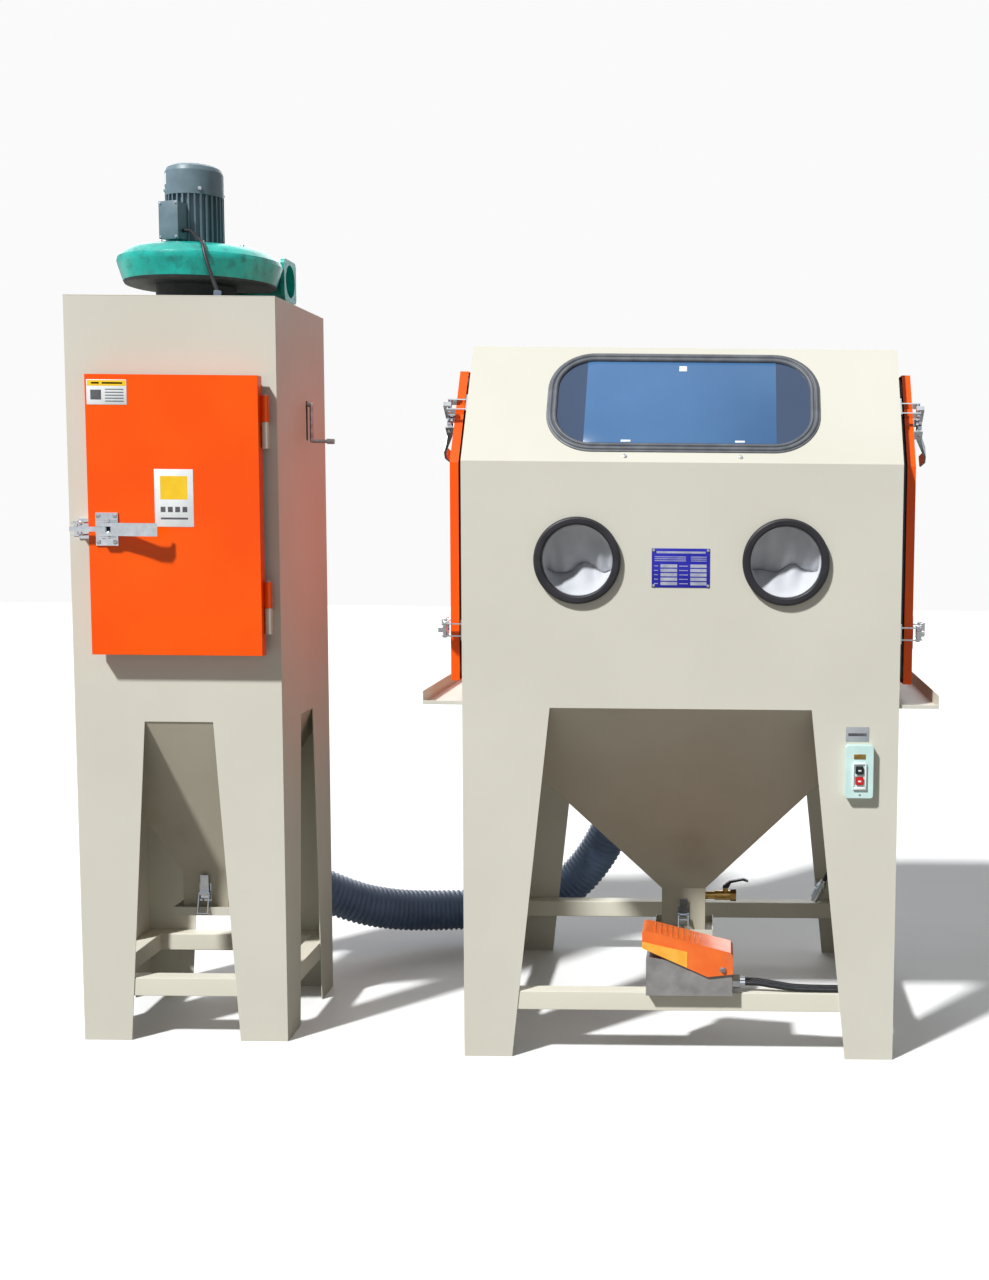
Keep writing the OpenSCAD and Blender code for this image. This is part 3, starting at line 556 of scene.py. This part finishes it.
def refine(node, material, width):
    """Stands a copy with edges softened by width in for a CAD node."""
    sharp_angle = math.radians(28)
    bm = bmesh.new()
    bm.from_mesh(frame["nodes"][node].data)
    bmesh.ops.remove_doubles(bm, verts=bm.verts, dist=3e-6)
    bmesh.ops.dissolve_limit(bm, angle_limit=math.radians(0.3), verts=bm.verts, edges=bm.edges)
    sharp = [e for e in bm.edges if len(e.link_faces) == 2 and e.calc_face_angle() > sharp_angle]
    bmesh.ops.bevel(
        bm, geom=sharp, offset=width, segments=2, profile=0.5, affect="EDGES", clamp_overlap=True
    )
    bmesh.ops.recalc_face_normals(bm, faces=bm.faces)
    mesh = bpy.data.meshes.new(node + "_shape")
    bm.to_mesh(mesh)
    bm.free()
    for spare in ("custom_normal", "sharp_face"):
        if spare in mesh.attributes:
            mesh.attributes.remove(mesh.attributes[spare])
    mesh.materials.clear()
    piece = finish_piece(node + "_finished", mesh, material, NODE_BODY[node], 34)
    weighted = piece.modifiers.new("even_shading", "WEIGHTED_NORMAL")
    weighted.keep_sharp = True
    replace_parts(piece, node)
    return piece


# ---- cords ----

DUCT_ROUTE = [
    (-688, 180, 700), (-688, 180, 600), (-688, 181, 500), (-686, 184, 410), (-674, 194, 330),
    (-640, 214, 260), (-588, 238, 207), (-520, 268, 164), (-450, 302, 130), (-375, 344, 107),
    (-296, 384, 95), (-216, 414, 90), (-136, 432, 90), (-60, 440, 98), (10, 442, 122),
    (72, 441, 166), (126, 437, 231), (170, 429, 312), (202, 422, 405), (224, 417, 505),
    (233, 415, 600), (234, 415, 700),
]
SUPPLY_ROUTE = [
    (513, -435, 160), (540, -435, 159), (580, -435, 153), (620, -435, 148), (680, -435, 146.3),
    (735, -434, 146.3), (772, -424, 146.3), (794, -398, 146.3), (800, -360, 146.3),
    (801, -250, 146.3), (801, -100, 146.3), (801, 60, 146.3), (801, 150, 146.3),
    (801, 205, 150), (801, 242, 166), (799, 268, 196), (791, 282, 230), (776, 290, 254),
    (757, 293, 258), (740, 293, 243), (729, 293, 217), (724, 293, 206),
]
GUN_ROUTE = [
    (513, -411, 160), (540, -411, 159), (580, -412, 153), (620, -414, 148), (680, -414, 146.3),
    (730, -413, 146.3), (760, -404, 146.3), (779, -384, 146.3), (785, -350, 146.3),
    (786, -250, 146.3), (786, -150, 148), (785, -80, 160), (783, -30, 195), (781, -2, 250),
    (780, 6, 330), (779, 2, 400), (776, -10, 470), (768, -20, 515), (754, -28, 546),
    (738, -31, 567), (722, -32, 582.5), (711, -32, 592),
]
CABLE_ROUTE = [
    (-698.5, -238.7, 1730), (-690, -241.8, 1730), (-682, -246, 1729), (-674, -253, 1725),
    (-667, -262, 1719), (-659, -274, 1712), (-651, -287, 1706), (-642, -301, 1701.5),
    (-634, -315, 1695), (-627, -327, 1683), (-622, -334, 1667), (-616, -338, 1650),
    (-610, -340, 1632), (-604, -342, 1615), (-598, -344, 1601), (-594, -345, 1591),
]


def in_metres(route):
    return [Vector(p) * MM for p in route]


def ribbed_duct():
    """The corrugated duct, with a helical rib of 13 mm pitch."""
    pitch, sides, steps = 0.013, 36, 6
    valley, rib = 0.0485, 0.0042
    line, length = smooth_line(in_metres(DUCT_ROUTE), pitch / steps)
    rings = []
    for i, (p, (a, b)) in enumerate(zip(line, moving_frames(line, Y))):
        ring = []
        for k in range(sides):
            turn = k / sides
            phase = (i / steps - turn) % 1
            r = valley + rib * max(0.0, math.cos(2 * math.pi * phase)) ** 0.6
            angle = 2 * math.pi * turn
            ring.append(p + r * (math.cos(angle) * a + math.sin(angle) * b))
        rings.append(ring)
    piece = Parts().ring_surface(rings).done("duct", DUCT, "frame", "duct_plastic", 70)
    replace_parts(piece, "duct_hose")


def plain_cord(name, node, route, r, first):
    line, length = smooth_line(in_metres(route), r * 1.6)
    piece = Parts().tube(line, r, 16, first).done(name, HOSE, "frame", "hose_rubber", 60)
    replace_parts(piece, node)


ribbed_duct()
plain_cord("supply_line", "supply_hose", SUPPLY_ROUTE, 0.005, Z)
plain_cord("gun_line", "gun_hose", GUN_ROUTE, 0.005, Z)
plain_cord("fan_cable", "motor_cable", CABLE_ROUTE, 0.004, X)


# ---- CAD nodes with softened edges ----

NODE_FINISHES = {
    "front_panel": (BEIGE, 0.0012), "left_side_panel": (BEIGE, 0.0006), "right_side_panel": (BEIGE, 0.0006),
    "back_panel": (BEIGE, 0.0006), "floor_rails": (RAIL_BEIGE, 0.0025), "hopper": (HOPPER_BEIGE_PAINTED_SHADE, 0.0008),
    "hopper_cap": (BEIGE, 0.0006), "collector_cap": (BEIGE, 0.0006), "hinge_barrels": (BEIGE, 0.0006),
    "side_trays": (BEIGE, 0.0006), "duct_spigots": (BEIGE, 0.0006), "collector_front_panel": (BEIGE, 0.0012),
    "collector_casing": (BEIGE, 0.0006), "collector_hopper": (HOPPER_BEIGE_PAINTED_SHADE, 0.0008),
    "left_door": (ORANGE, 0.003), "right_door": (ORANGE, 0.003), "collector_door": (ORANGE, 0.004),
    "tube_sheet": (ZINC, 0.0005), "work_grate": (ZINC, 0.0006),
    "shaker_rod": (ZINC, 0.0004), "motor_shaft": (ZINC, 0.0004), "cap_brackets": (CHROME, 0.0004),
    "left_latch_bases": (CHROME, 0.0005), "right_latch_bases": (CHROME, 0.0005),
    "collector_latch_base": (CHROME, 0.0005), "latch_keepers": (CHROME, 0.0005),
    "left_upper_lever": (CHROME, 0.0009), "left_lower_lever": (CHROME, 0.0009),
    "right_upper_lever": (CHROME, 0.0009), "right_lower_lever": (CHROME, 0.0009),
    "collector_lever": (CHROME, 0.0009), "hopper_latch_lever": (CHROME, 0.0006),
    "hopper_latch_bail": (CHROME, 0.0003), "collector_cap_lever": (CHROME, 0.0006),
    "collector_cap_bail": (CHROME, 0.0003), "line_fittings": (CHROME, 0.0005),
    "door_seals": (SEAL, 0.0015), "glove_rings": (RING, 0.001), "lamp": (LAMP, 0.003),
    "start_button": (BLACK, 0.0012), "stop_button": (RED, 0.0012), "valve_lever": (BLACK, 0.001),
    "drain_valve": (BRASS, 0.0006), "blast_gun": (CAST, 0.0012), "fan_impeller": (CAST, 0.0005),
    "pedal_base": (PEDAL_GREY, 0.002), "pedal_treadle": (PEDAL_ORANGE, 0.0015), "switch_box": (MINT, 0.002),
    "fan_housing": (TEAL, 0.0012), "fan_base": (DARK_CAST, 0.0008),
    "motor_body": (SLATE, 0.0005), "motor_cowl": (SLATE, 0.0008), "window_glass": (GLASS, 0.0005),
}
for node_name, (finish_used, edge) in NODE_FINISHES.items():
    refine(node_name, finish_used, edge)


# ---- window ----

SLOPE_FOOT = 1244
SLOPE_ANGLE = math.atan2(246, 176)
SLOPE = Matrix.Translation(at_cab(0, 0, SLOPE_FOOT)) @ Matrix.Rotation(SLOPE_ANGLE, 4, "X")
WINDOW_W, WINDOW_H, WINDOW_R, WINDOW_UP = 560, 252, 94, 155


def rounded_ring(w, h, r):
    """Points of a rounded rectangle in x and y."""
    count = 14
    out = []
    for sx, sy, start in ((1, 1, 0), (-1, 1, 90), (-1, -1, 180), (1, -1, 270)):
        for k in range(count + 1):
            a = math.radians(start + 90 * k / count)
            out.append((sx * (w / 2 - r) + r * math.cos(a), sy * (h / 2 - r) + r * math.sin(a)))
    return out


def window_seal():
    """The gasket, two ridges with a groove between them."""
    line = [
        (-4, 0.2), (-3.2, 2.2), (0, 2.8), (0.8, 5.0), (3.4, 6.2), (6.2, 5.6), (7.6, 3.4), (9.2, 3.2),
        (10.6, 5.4), (13, 6.3), (15.8, 5.2), (17.6, 2.4), (18, -1), (18, -4.8), (5.2, -4.8), (5, 0.2),
    ]
    rings = []
    for inset, out in line:
        ring = rounded_ring(WINDOW_W - 2 * inset, WINDOW_H - 2 * inset, WINDOW_R - inset)
        rings.append([SLOPE @ (Vector((x, WINDOW_UP + y, out)) * MM) for x, y in ring])
    parts = Parts().ring_surface(rings, caps=False, looped=True)
    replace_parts(parts.done("window_gasket", SEAL, "frame", "black_rubber", 50), "window_seal")


def slope_block(parts, x0, x1, s0, s1, n0, n1, r=0.4):
    """A block on the slope: across, up the slope and out of it, in millimetres."""
    parts.block(SLOPE, Vector((x0, s0, n0)) * MM, Vector((x1, s1, n1)) * MM, r * MM)


window_seal()
film = Parts()
slope_block(film, -204, 192, 49, 263, -0.3, 0.3, 0.25)
film.done("window_film_sheet", FILM, "frame", "window_glass")
marks = Parts()
slope_block(marks, -11, 5, 238, 252, 0.3, 1.2)
for x in (-117, 117):
    slope_block(marks, x - 10, x + 10, 51, 56, 0.3, 1.4)
marks.done("window_clips", WHITE, "frame", "lamp_white")
studs = Parts()
for x in (-118, 118):
    studs.screw(SLOPE @ (Vector((x, 15, 0)) * MM), SLOPE.to_3x3() @ Z, 0.0045, 0.004)
studs.done("slope_screws", CHROME, "frame", "chrome")


# ---- gloves ----


def smooth_step(t):
    """An even rise from 0 to 1 as t goes from 0 to 1."""
    t = max(0.0, min(1.0, t))
    return t * t * (3 - 2 * t)


def glove(side):
    """A cotton sleeve that narrows inwards in soft folds and ends in a hand."""
    centre = at_cab(side * 213, 0, 1044)
    rings, count, steps = [], 120, 76
    for i in range(steps + 1):
        t = i / steps
        depth = 15 + 300 * t
        fall = smooth_step((depth - 12) / 50)
        back = smooth_step((depth - 150) / 165)
        wide = 74.5 - 5 * fall - 38 * back
        high = 74.5 - 72.2 * fall + 23 * back
        low = -20 * fall + 4 * back
        pull = min(1, t * 8)
        ring = []
        for k in range(count):
            a = 2 * math.pi * k / count
            fold = math.sin(11 * a + 1.8 * math.sin(14 * t + side) + 2.1 * side)
            broad = math.sin(4 * a + 3.5 * t + side)
            soft = noise.noise(Vector((math.cos(a) * 2.2, math.sin(a) * 2.2, t * 6 + 10 * side)))
            bend = pull * (3.8 * fold + 3.0 * broad + 9.0 * soft)
            flank = abs(math.sin(a))
            x = (wide - pull * abs(bend) * 0.3) * math.cos(a)
            z = low + (high - pull * 1.5) * math.sin(a) + 0.5 * bend * math.sin(a) * (1 - 0.6 * fall)
            drape = noise.noise(Vector((x * 0.022 + side * 4, depth * 0.012, side * 2.0)))
            hang = 26 * drape + 5 * math.cos(x * 0.05 + side)
            z += fall * hang * (1 - back) * max(0.0, 1 - (x / 78) ** 2)
            y = depth - 0.9 * flank * bend
            ring.append(centre + Vector((x, y, z)) * MM)
        rings.append(ring)
    parts = Parts().ring_surface(rings, caps=False)
    end = centre + Vector((0, 315, -16)) * MM
    palm = frame_at(end, Y, X)
    tips = [(-30, 88, 9), (-11, 98, 9.5), (9, 96, 9.5), (28, 84, 8.5)]
    hand = bmesh.new()

    def arc(r, level, turns):
        angles = [math.radians(q) for q in turns]
        return [(r * MM * math.sin(q), level - r * MM * math.cos(q)) for q in angles]

    def pad(a, b, ra, rb):
        """A limb of the hand from a to b, round at both ends."""
        axis = Vector(b) - Vector(a)
        place = frame_at(palm @ (Vector(a) * MM), (palm.to_3x3() @ axis), X)
        long = axis.length * MM
        line = [(0.0008, -ra * 0.95 * MM)]
        line += arc(ra, 0, (30, 60, 90))
        line += arc(rb, long, (90, 120, 150))
        line += [(0.0008, long + rb * 0.95 * MM)]
        keep = Parts()
        keep.bm.free()
        keep.bm = hand
        keep.lathe(place, line, 20)

    pad((-14, 0, -18), (-14, 0, 34), 27, 21)
    pad((14, 0, -18), (14, 0, 34), 27, 21)
    for x, reach, r in tips:
        pad((x * 0.8, 0, 30), (x * 1.1, -6, reach), r + 2, r)
    pad((side * -22, 0, 4), (side * -50, -8, 44), 12, 9)
    mesh = bpy.data.meshes.new("hand")
    hand.to_mesh(mesh)
    hand.free()
    temp = bpy.data.objects.new("hand", mesh)
    bpy.context.scene.collection.objects.link(temp)
    remesh = temp.modifiers.new("join", "REMESH")
    remesh.mode = "VOXEL"
    remesh.voxel_size = 0.0045
    relax = temp.modifiers.new("relax", "SMOOTH")
    relax.iterations = 6
    graph = bpy.context.evaluated_depsgraph_get()
    shaped = bpy.data.meshes.new_from_object(temp.evaluated_get(graph))
    parts.bm.from_mesh(shaped)
    bpy.data.objects.remove(temp)
    name = "glove_left" if side < 0 else "glove_right"
    piece = parts.done(name, CLOTH, "frame", "glove_cloth", 80)
    thicken(piece, 0.001)
    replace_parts(piece, "gloves")


for one_side in (-1, 1):
    glove(one_side)


# ---- filter bags ----


def filter_bag(number, x, y):
    """A hanging felt tube with a closed, rounded foot."""
    rings, count, steps = [], 48, 60
    for i in range(steps + 1):
        t = i / steps
        z = 1439 - 596 * t
        ring = []
        for k in range(count):
            a = 2 * math.pi * k / count
            soft = noise.noise(Vector((math.cos(a) * 1.5 + number * 7, math.sin(a) * 1.5, t * 7)))
            swell = math.sin(math.pi * t)
            r = 56 - 3.0 * abs(math.sin(3 * a + number)) * swell + 2.5 * soft * swell
            ring.append(at_col(x + r * math.cos(a), y + r * math.sin(a), z))
        rings.append(ring)
    for r, z in ((52, 841.5), (40, 840.8), (20, 840.6), (4, 840.5)):
        turns = [around(r, k, count) for k in range(count)]
        rings.append([at_col(x + dx, y + dy, z) for dx, dy in turns])
    parts = Parts().ring_surface(rings, caps=False)
    parts.bm.faces.new(list(parts.bm.verts)[-count:])
    piece = parts.done(f"filter_bag_{number}", FELT, "frame", "filter_cloth", 60)
    thicken(piece, 0.0016)
    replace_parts(piece, "filter_bags")


for bag, (bag_x, bag_y) in enumerate(((-95, 92), (-95, 304), (95, 92), (95, 304)), 1):
    filter_bag(bag, bag_x, bag_y)


# ---- labels and plates ----


def flat_plate(name, body, ink, place, w, h, bars, material, slot_name, thick=0.5):
    """A thin plate with generic bars on it. Bars are (x0, z0, x1, z1, key in ink)."""
    parts = Parts()
    parts.block(place, Vector((0, 0, 0)), Vector((w, h, thick)) * MM, 0.0002)
    parts.done(name, material, body, slot_name)
    groups = {}
    for x0, y0, x1, y1, kind in bars:
        groups.setdefault(kind, []).append((x0, y0, x1, y1))
    for kind, rows in groups.items():
        extra = Parts()
        for x0, y0, x1, y1 in rows:
            low = Vector((x0, y0, thick - 0.05)) * MM
            high = Vector((x1, y1, thick + 0.12)) * MM
            extra.block(place, low, high, 0.00004, 1)
        extra.done(f"{name}_{kind}", ink[kind], body, slot_name)


FRONT = frame_at(Vector((0, 0, 0)), -Y, X)
DOOR_FACE = -43
small_bars = [
    (1.5, 38, 80.5, 49.5, "band"), (10, 42, 26, 45.5, "bars"),
    (32, 42, 74, 45.5, "bars"), (8, 10, 30, 30, "bars"),
]
small_bars += [(38, z, 76 - (z % 3) * 5, z + 2, "bars") for z in (6, 12, 18, 24, 30)]
flat_plate(
    "door_label_small", "collector_door", {"band": YELLOW, "bars": INK},
    Matrix.Translation(at_col(-158, DOOR_FACE, 1352)) @ FRONT, 82, 51, small_bars, WHITE, "lamp_white",
)
large_bars = [(12, 56, 68, 104, "band")]
large_bars += [(12 + 15 * k, 30, 22 + 15 * k, 41, "bars") for k in range(4)]
large_bars += [(12, 15, 68, 19, "bars")]
flat_plate(
    "door_label_large", "collector_door", {"band": YELLOW, "bars": INK},
    Matrix.Translation(at_col(-24, DOOR_FACE, 1104)) @ FRONT, 80, 118, large_bars, WHITE, "lamp_white",
)
plate_bars = [(10, 70, 110, 74, "bars")]
for row in range(3):
    for x_low, x_high in ((6, 70), (80, 112)):
        plate_bars.append((x_low, 62 - 4 * row, x_high, 63.4 - 4 * row, "bars"))
for row in range(5):
    z_low = 41 - 9 * row
    plate_bars += [(18, z_low, 52, z_low + 6.5, "bars"), (79, z_low, 112, z_low + 6.5, "bars")]
    plate_bars += [(5, z_low + 2.4, 13, z_low + 3.8, "bars"), (56, z_low + 2.4, 74, z_low + 3.8, "bars")]
flat_plate(
    "nameplate", "frame", {"bars": PALE_METAL},
    Matrix.Translation(at_cab(-61, 0, 990)) @ FRONT, 119, 80, plate_bars, BLUE, "mint_plastic", 0.9,
)
rivets = Parts()
for x, z in ((-57, 994), (54, 994), (-57, 1066), (54, 1066)):
    rivets.screw(at_cab(x, -0.9, z), -Y, 0.0032, 0.0018)
rivets.done("nameplate_rivets", CHROME, "frame", "chrome")
flat_plate(
    "switch_label", "frame", {"bars": INK},
    Matrix.Translation(at_cab(341, 0, 675)) @ FRONT, 48, 31, [(5, 12, 43, 18, "bars")],
    GREY_LABEL, "mint_plastic", 0.6,
)


# ---- latch screws, switch, pedal, fan and clamps ----


def cab_latch(side, upper):
    """Placing matrix of a side door's latch: x along the lever, z out of the door."""
    door, inset, upper_z = 480, 38, 1345
    if upper:
        rise = SLOPE_ANGLE
        y = inset * math.sin(rise) + (upper_z - SLOPE_FOOT + inset * math.cos(rise)) / math.tan(rise)
        along = Vector((0, math.cos(rise - math.pi / 2), math.sin(rise - math.pi / 2)))
        origin = at_cab(side * door, y, upper_z)
    else:
        along = Y
        origin = at_cab(side * door, 45, 898)
    out = X * side
    return Matrix.Translation(origin) @ Matrix((along, out.cross(along), out)).transposed().to_4x4()


def latch_hardware(name, place, stand, base_body):
    """Screws of a latch base, the rivets of its hook and the bolts of its keeper."""
    out, across = place.to_3x3() @ Z, place.to_3x3() @ Y
    screws = Parts()
    for x in (22, 56):
        for y in (-27, 27):
            screws.screw(place @ (Vector((x, y, 2.9)) * MM), out, 0.0046, 0.0032)
    for way in (-1, 1):
        screws.screw(place @ (Vector((38, way * 18, 17)) * MM), across * way, 0.0036, 0.0018)
    screws.done(name + "_screws", CHROME, base_body, "chrome")
    bolts = Parts()
    for y in (-10.45, 10.45):
        bolts.bolt(place @ (Vector((-33, y, 2.9 - stand)) * MM), out, 0.0034, 0.004)
    for way in (-1, 1):
        bolts.screw(place @ (Vector((-22, way * 14, 8)) * MM), across * way, 0.0048, 0.0028)
    bolts.done(name + "_bolts", CHROME, "frame", "chrome")


for hand, word in ((-1, "left"), (1, "right")):
    for is_upper, level in ((True, "upper"), (False, "lower")):
        latch_hardware(f"{word}_{level}_latch", cab_latch(hand, is_upper), 30, word + "_door")
COLLECTOR_LATCH = Matrix.Translation(at_col(-162, DOOR_FACE, 1098)) @ Matrix.Rotation(math.pi / 2, 4, "X")
latch_hardware("collector_latch", COLLECTOR_LATCH, 43, "collector_door")

SWITCH = Matrix.Translation(at_cab(369, -18, 615)) @ FRONT
bezel = Parts()
for x0, y0, x1, y1 in ((-14, -33, -11, 18), (11, -33, 14, 18), (-14, -36, 14, -30), (-14, 16, 14, 19)):
    bezel.block(SWITCH, Vector((x0, y0, -0.2)) * MM, Vector((x1, y1, 5.2)) * MM, 0.0009)
bezel.done("switch_bezel", WHITE, "frame", "lamp_white")
badge = Parts()
badge.block(SWITCH, Vector((-12, 27, -0.2)) * MM, Vector((12, 37, 1.2)) * MM, 0.0005)
badge.done("switch_badge", BRASS, "frame", "brass")
lower_screw = Parts()
lower_screw.screw(SWITCH @ (Vector((1, -47, 0)) * MM), -Y, 0.0026, 0.0012)
lower_screw.done("switch_screw", CHROME, "frame", "chrome")
for button in ("start_button", "stop_button"):
    low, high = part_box(button)
    middle = (low + high) / 2
    mark = Parts()
    face = Matrix.Translation(Vector((middle.x, low.y, middle.z))) @ FRONT
    mark.block(face, Vector((-3.2, -1.6, -0.1)) * MM, Vector((3.2, 1.6, 0.3)) * MM, 0.0002)
    mark.done(button + "_mark", WHITE, button, "lamp_white")

edge = Parts()
for y0, y1 in ((-27.8, -27.1), (67.1, 67.8)):
    profile = [(-76, 243.3), (-76, 257), (18, 236), (18, 202)]
    rings = [[at_cab(x, y, z) for x, z in profile] for y in (y0, y1)]
    edge.ring_surface(rings)
edge.done("treadle_edge", AMBER, "pedal_treadle", "orange_paint")
treads = Parts()
tilt = frame_at(at_cab(-66, 20, 279), Vector((44, 0, 174)), X)
for k in range(9):
    x0 = 14 + 12 * k
    treads.block(tilt, Vector((x0, -36, -0.3)) * MM, Vector((x0 + 4, 36, 0.9)) * MM, 0.0005)
treads.done("treadle_ribs", PEDAL_ORANGE, "pedal_treadle", "orange_paint")
pedal_pins = Parts()
for y, way in ((-29, -1), (69, 1)):
    pedal_pins.bolt(at_cab(92, y, 199), Y * way, 0.0045, 0.004)
pedal_pins.done("pedal_pin_nuts", ZINC, "frame", "zinc_steel")

FAN = at_col(-8, 200, 0)
VOLUTE_SHIFT, VOLUTE_TOP = 10, 1697.8
FLANGE_X, OUTLET_Y, OUTLET_Z = 175, 110, 1650
fan_screws = Parts()
for angle in (-150, -110, -70, -30, 10, 60, 110, 160):
    a = math.radians(angle)
    spot = Vector((VOLUTE_SHIFT + 128 * math.cos(a), 128 * math.sin(a), VOLUTE_TOP))
    fan_screws.bolt(FAN + spot * MM, Z, 0.0042, 0.005)
for y, z in ((-38, -36), (38, -36), (-38, 36), (38, 36)):
    fan_screws.bolt(FAN + Vector((FLANGE_X, OUTLET_Y + y, OUTLET_Z + z)) * MM, X, 0.0045, 0.005)
fan_screws.done("fan_bolts", ZINC, "frame", "zinc_steel")
cowl_screws = Parts()
for angle in (-62, 28, 118, 208):
    a = math.radians(angle)
    out = Vector((math.cos(a), math.sin(a), 0))
    cowl_screws.screw(FAN + out * 0.0608 + Z * 1.822, out, 0.0046, 0.003)
cowl_screws.done("cowl_screws", CHROME, "frame", "chrome")
box_lid = Parts()
turn = Matrix.Translation(FAN) @ Matrix.Rotation(math.radians(-20), 4, "Z")
box_lid.block(turn, Vector((-25, -88, 1711)) * MM, Vector((25, -83.5, 1791)) * MM, 0.0016)
box_lid.done("terminal_lid", SLATE, "frame", "slate_cast")
lid_screws = Parts()
for x in (-20, 20):
    for z in (1716, 1786):
        lid_screws.screw(turn @ (Vector((x, -88, z)) * MM), turn.to_3x3() @ -Y, 0.003, 0.002)
lid_screws.done("terminal_lid_screws", CHROME, "frame", "chrome")
tag = Parts()
tag_turns = list(range(-172, -141, 6))
tag_line = [(61.4, a) for a in tag_turns] + [(60.8, a) for a in reversed(tag_turns)]
rings = []
for z in (1834, 1858):
    ring = []
    for r, angle in tag_line:
        a = math.radians(angle)
        ring.append(FAN + Vector((r * math.cos(a), r * math.sin(a), z)) * MM)
    rings.append(ring)
tag.ring_surface(rings)
tag.done("cowl_tag", WHITE, "frame", "lamp_white")
# Painted shade: the cowl's vent slots are black bars on its top, standing in for the shade inside the
# openings.
slot_shade_bars = Parts()
for ring_r, count in ((16, 8), (28, 14), (40, 20)):
    for k in range(count):
        a = 2 * math.pi * k / count
        place = Matrix.Translation(FAN) @ Matrix.Rotation(a, 4, "Z")
        low = Vector((ring_r - 3.5, -1.8, 1876.6)) * MM
        high = Vector((ring_r + 3.5, 1.8, 1877.3)) * MM
        slot_shade_bars.block(place, low, high, 0.0004)
slot_shade_bars.done("cowl_slot_shade", BLACK, "frame", "slate_cast")

CLAMP_BAND = [
    (0.0526, 0.679), (0.0546, 0.679), (0.0548, 0.6795),
    (0.0548, 0.6905), (0.0546, 0.691), (0.0526, 0.691),
]
clamps = Parts()
for x, y in ((-688, 180), (234, 415)):
    foot = Matrix.Translation(Vector((x, y, 0)) * MM)
    clamps.lathe(foot, CLAMP_BAND, 48, closed=True)
    clamps.block(foot, Vector((-8, -64, 680)) * MM, Vector((8, -54, 690)) * MM, 0.0012)
clamps.done("duct_clamps", ZINC, "frame", "zinc_steel")


# ---- stage and light ----

floor_mesh = bpy.data.meshes.new("floor")
floor_mesh.from_pydata([(-14, -14, 0), (14, -14, 0), (14, 14, 0), (-14, 14, 0)], [], [(0, 1, 2, 3)])
floor = bpy.data.objects.new("floor", floor_mesh)
bpy.context.scene.collection.objects.link(floor)
# The floor looks paler to the camera than the light that it throws back on the object.
floor_finish = (
    Finish("pale_floor", 0.85)
    .colour(srgb(236, 236, 235), srgb(240, 240, 239), 2.0)
    .grain(200, 0.0001)
)
soft_bounce = floor_finish.new("ShaderNodeBsdfDiffuse", Color=(*srgb(150, 148, 144), 1))
floor_ray = floor_finish.new("ShaderNodeLightPath")
floor_mix = floor_finish.new("ShaderNodeMixShader")
floor_finish.link(floor_ray.outputs["Is Camera Ray"], floor_mix.inputs[0])
floor_finish.link(soft_bounce.outputs[0], floor_mix.inputs[1])
floor_finish.link(floor_finish.shader.outputs[0], floor_mix.inputs[2])
floor_finish.link(floor_mix.outputs[0], floor_finish.tree.nodes["Material Output"].inputs["Surface"])
floor_mesh.materials.append(floor_finish.material)

# The camera sees a plain pale backdrop; mirrors see a sky with stops of (height, colour).
SKY_STOPS = (
    (0.0, (40, 38, 36)), (0.47, (64, 62, 60)), (0.55, (128, 138, 152)),
    (0.72, (236, 242, 250)), (1.0, (255, 255, 255)),
)
world = bpy.data.worlds.new("studio")
bpy.context.scene.world = world
world.use_nodes = True
nodes, join = world.node_tree.nodes, world.node_tree.links.new
seen = nodes["Background"]
seen.inputs["Color"].default_value = (*srgb(250, 250, 250), 1)
lit, mirrored = nodes.new("ShaderNodeBackground"), nodes.new("ShaderNodeBackground")
lit.inputs["Color"].default_value = (0.93, 0.96, 1.0, 1)
lit.inputs["Strength"].default_value = 0.2
place, split = nodes.new("ShaderNodeTexCoord"), nodes.new("ShaderNodeSeparateXYZ")
sky = nodes.new("ShaderNodeValToRGB")
line = sky.color_ramp
for at, colour in SKY_STOPS:
    element = line.elements.new(at) if 0 < at < 1 else line.elements[int(at)]
    element.color = (*srgb(*colour), 1)
half = nodes.new("ShaderNodeMapRange")
half.inputs["From Min"].default_value = -1
join(place.outputs["Generated"], split.inputs[0])
join(split.outputs["Z"], half.inputs["Value"])
join(half.outputs[0], sky.inputs["Fac"])
join(sky.outputs["Color"], mirrored.inputs["Color"])
pick = nodes.new("ShaderNodeLightPath")
glossy, choose = nodes.new("ShaderNodeMixShader"), nodes.new("ShaderNodeMixShader")
join(pick.outputs["Is Glossy Ray"], glossy.inputs["Fac"])
join(lit.outputs[0], glossy.inputs[1])
join(mirrored.outputs[0], glossy.inputs[2])
join(pick.outputs["Is Camera Ray"], choose.inputs["Fac"])
join(glossy.outputs[0], choose.inputs[1])
join(seen.outputs[0], choose.inputs[2])
join(choose.outputs[0], nodes["World Output"].inputs["Surface"])


def sun(name, direction, strength, spread, colour):
    """A distant light; direction points from the object to the light."""
    data = bpy.data.lights.new(name, "SUN")
    data.energy, data.angle, data.color = strength, math.radians(spread), colour
    light = bpy.data.objects.new(name, data)
    bpy.context.scene.collection.objects.link(light)
    light.rotation_mode = "QUATERNION"
    light.rotation_quaternion = (-Vector(direction)).to_track_quat("-Z", "Y")


sun("key", (-0.44, -0.53, 0.725), 4.5, 4, (0.965, 0.975, 0.98))
sun("back", (-0.1, 0.85, 0.4), 1.2, 50, (0.97, 0.98, 1.0))
bpy.context.scene.view_settings.view_transform = "Standard"
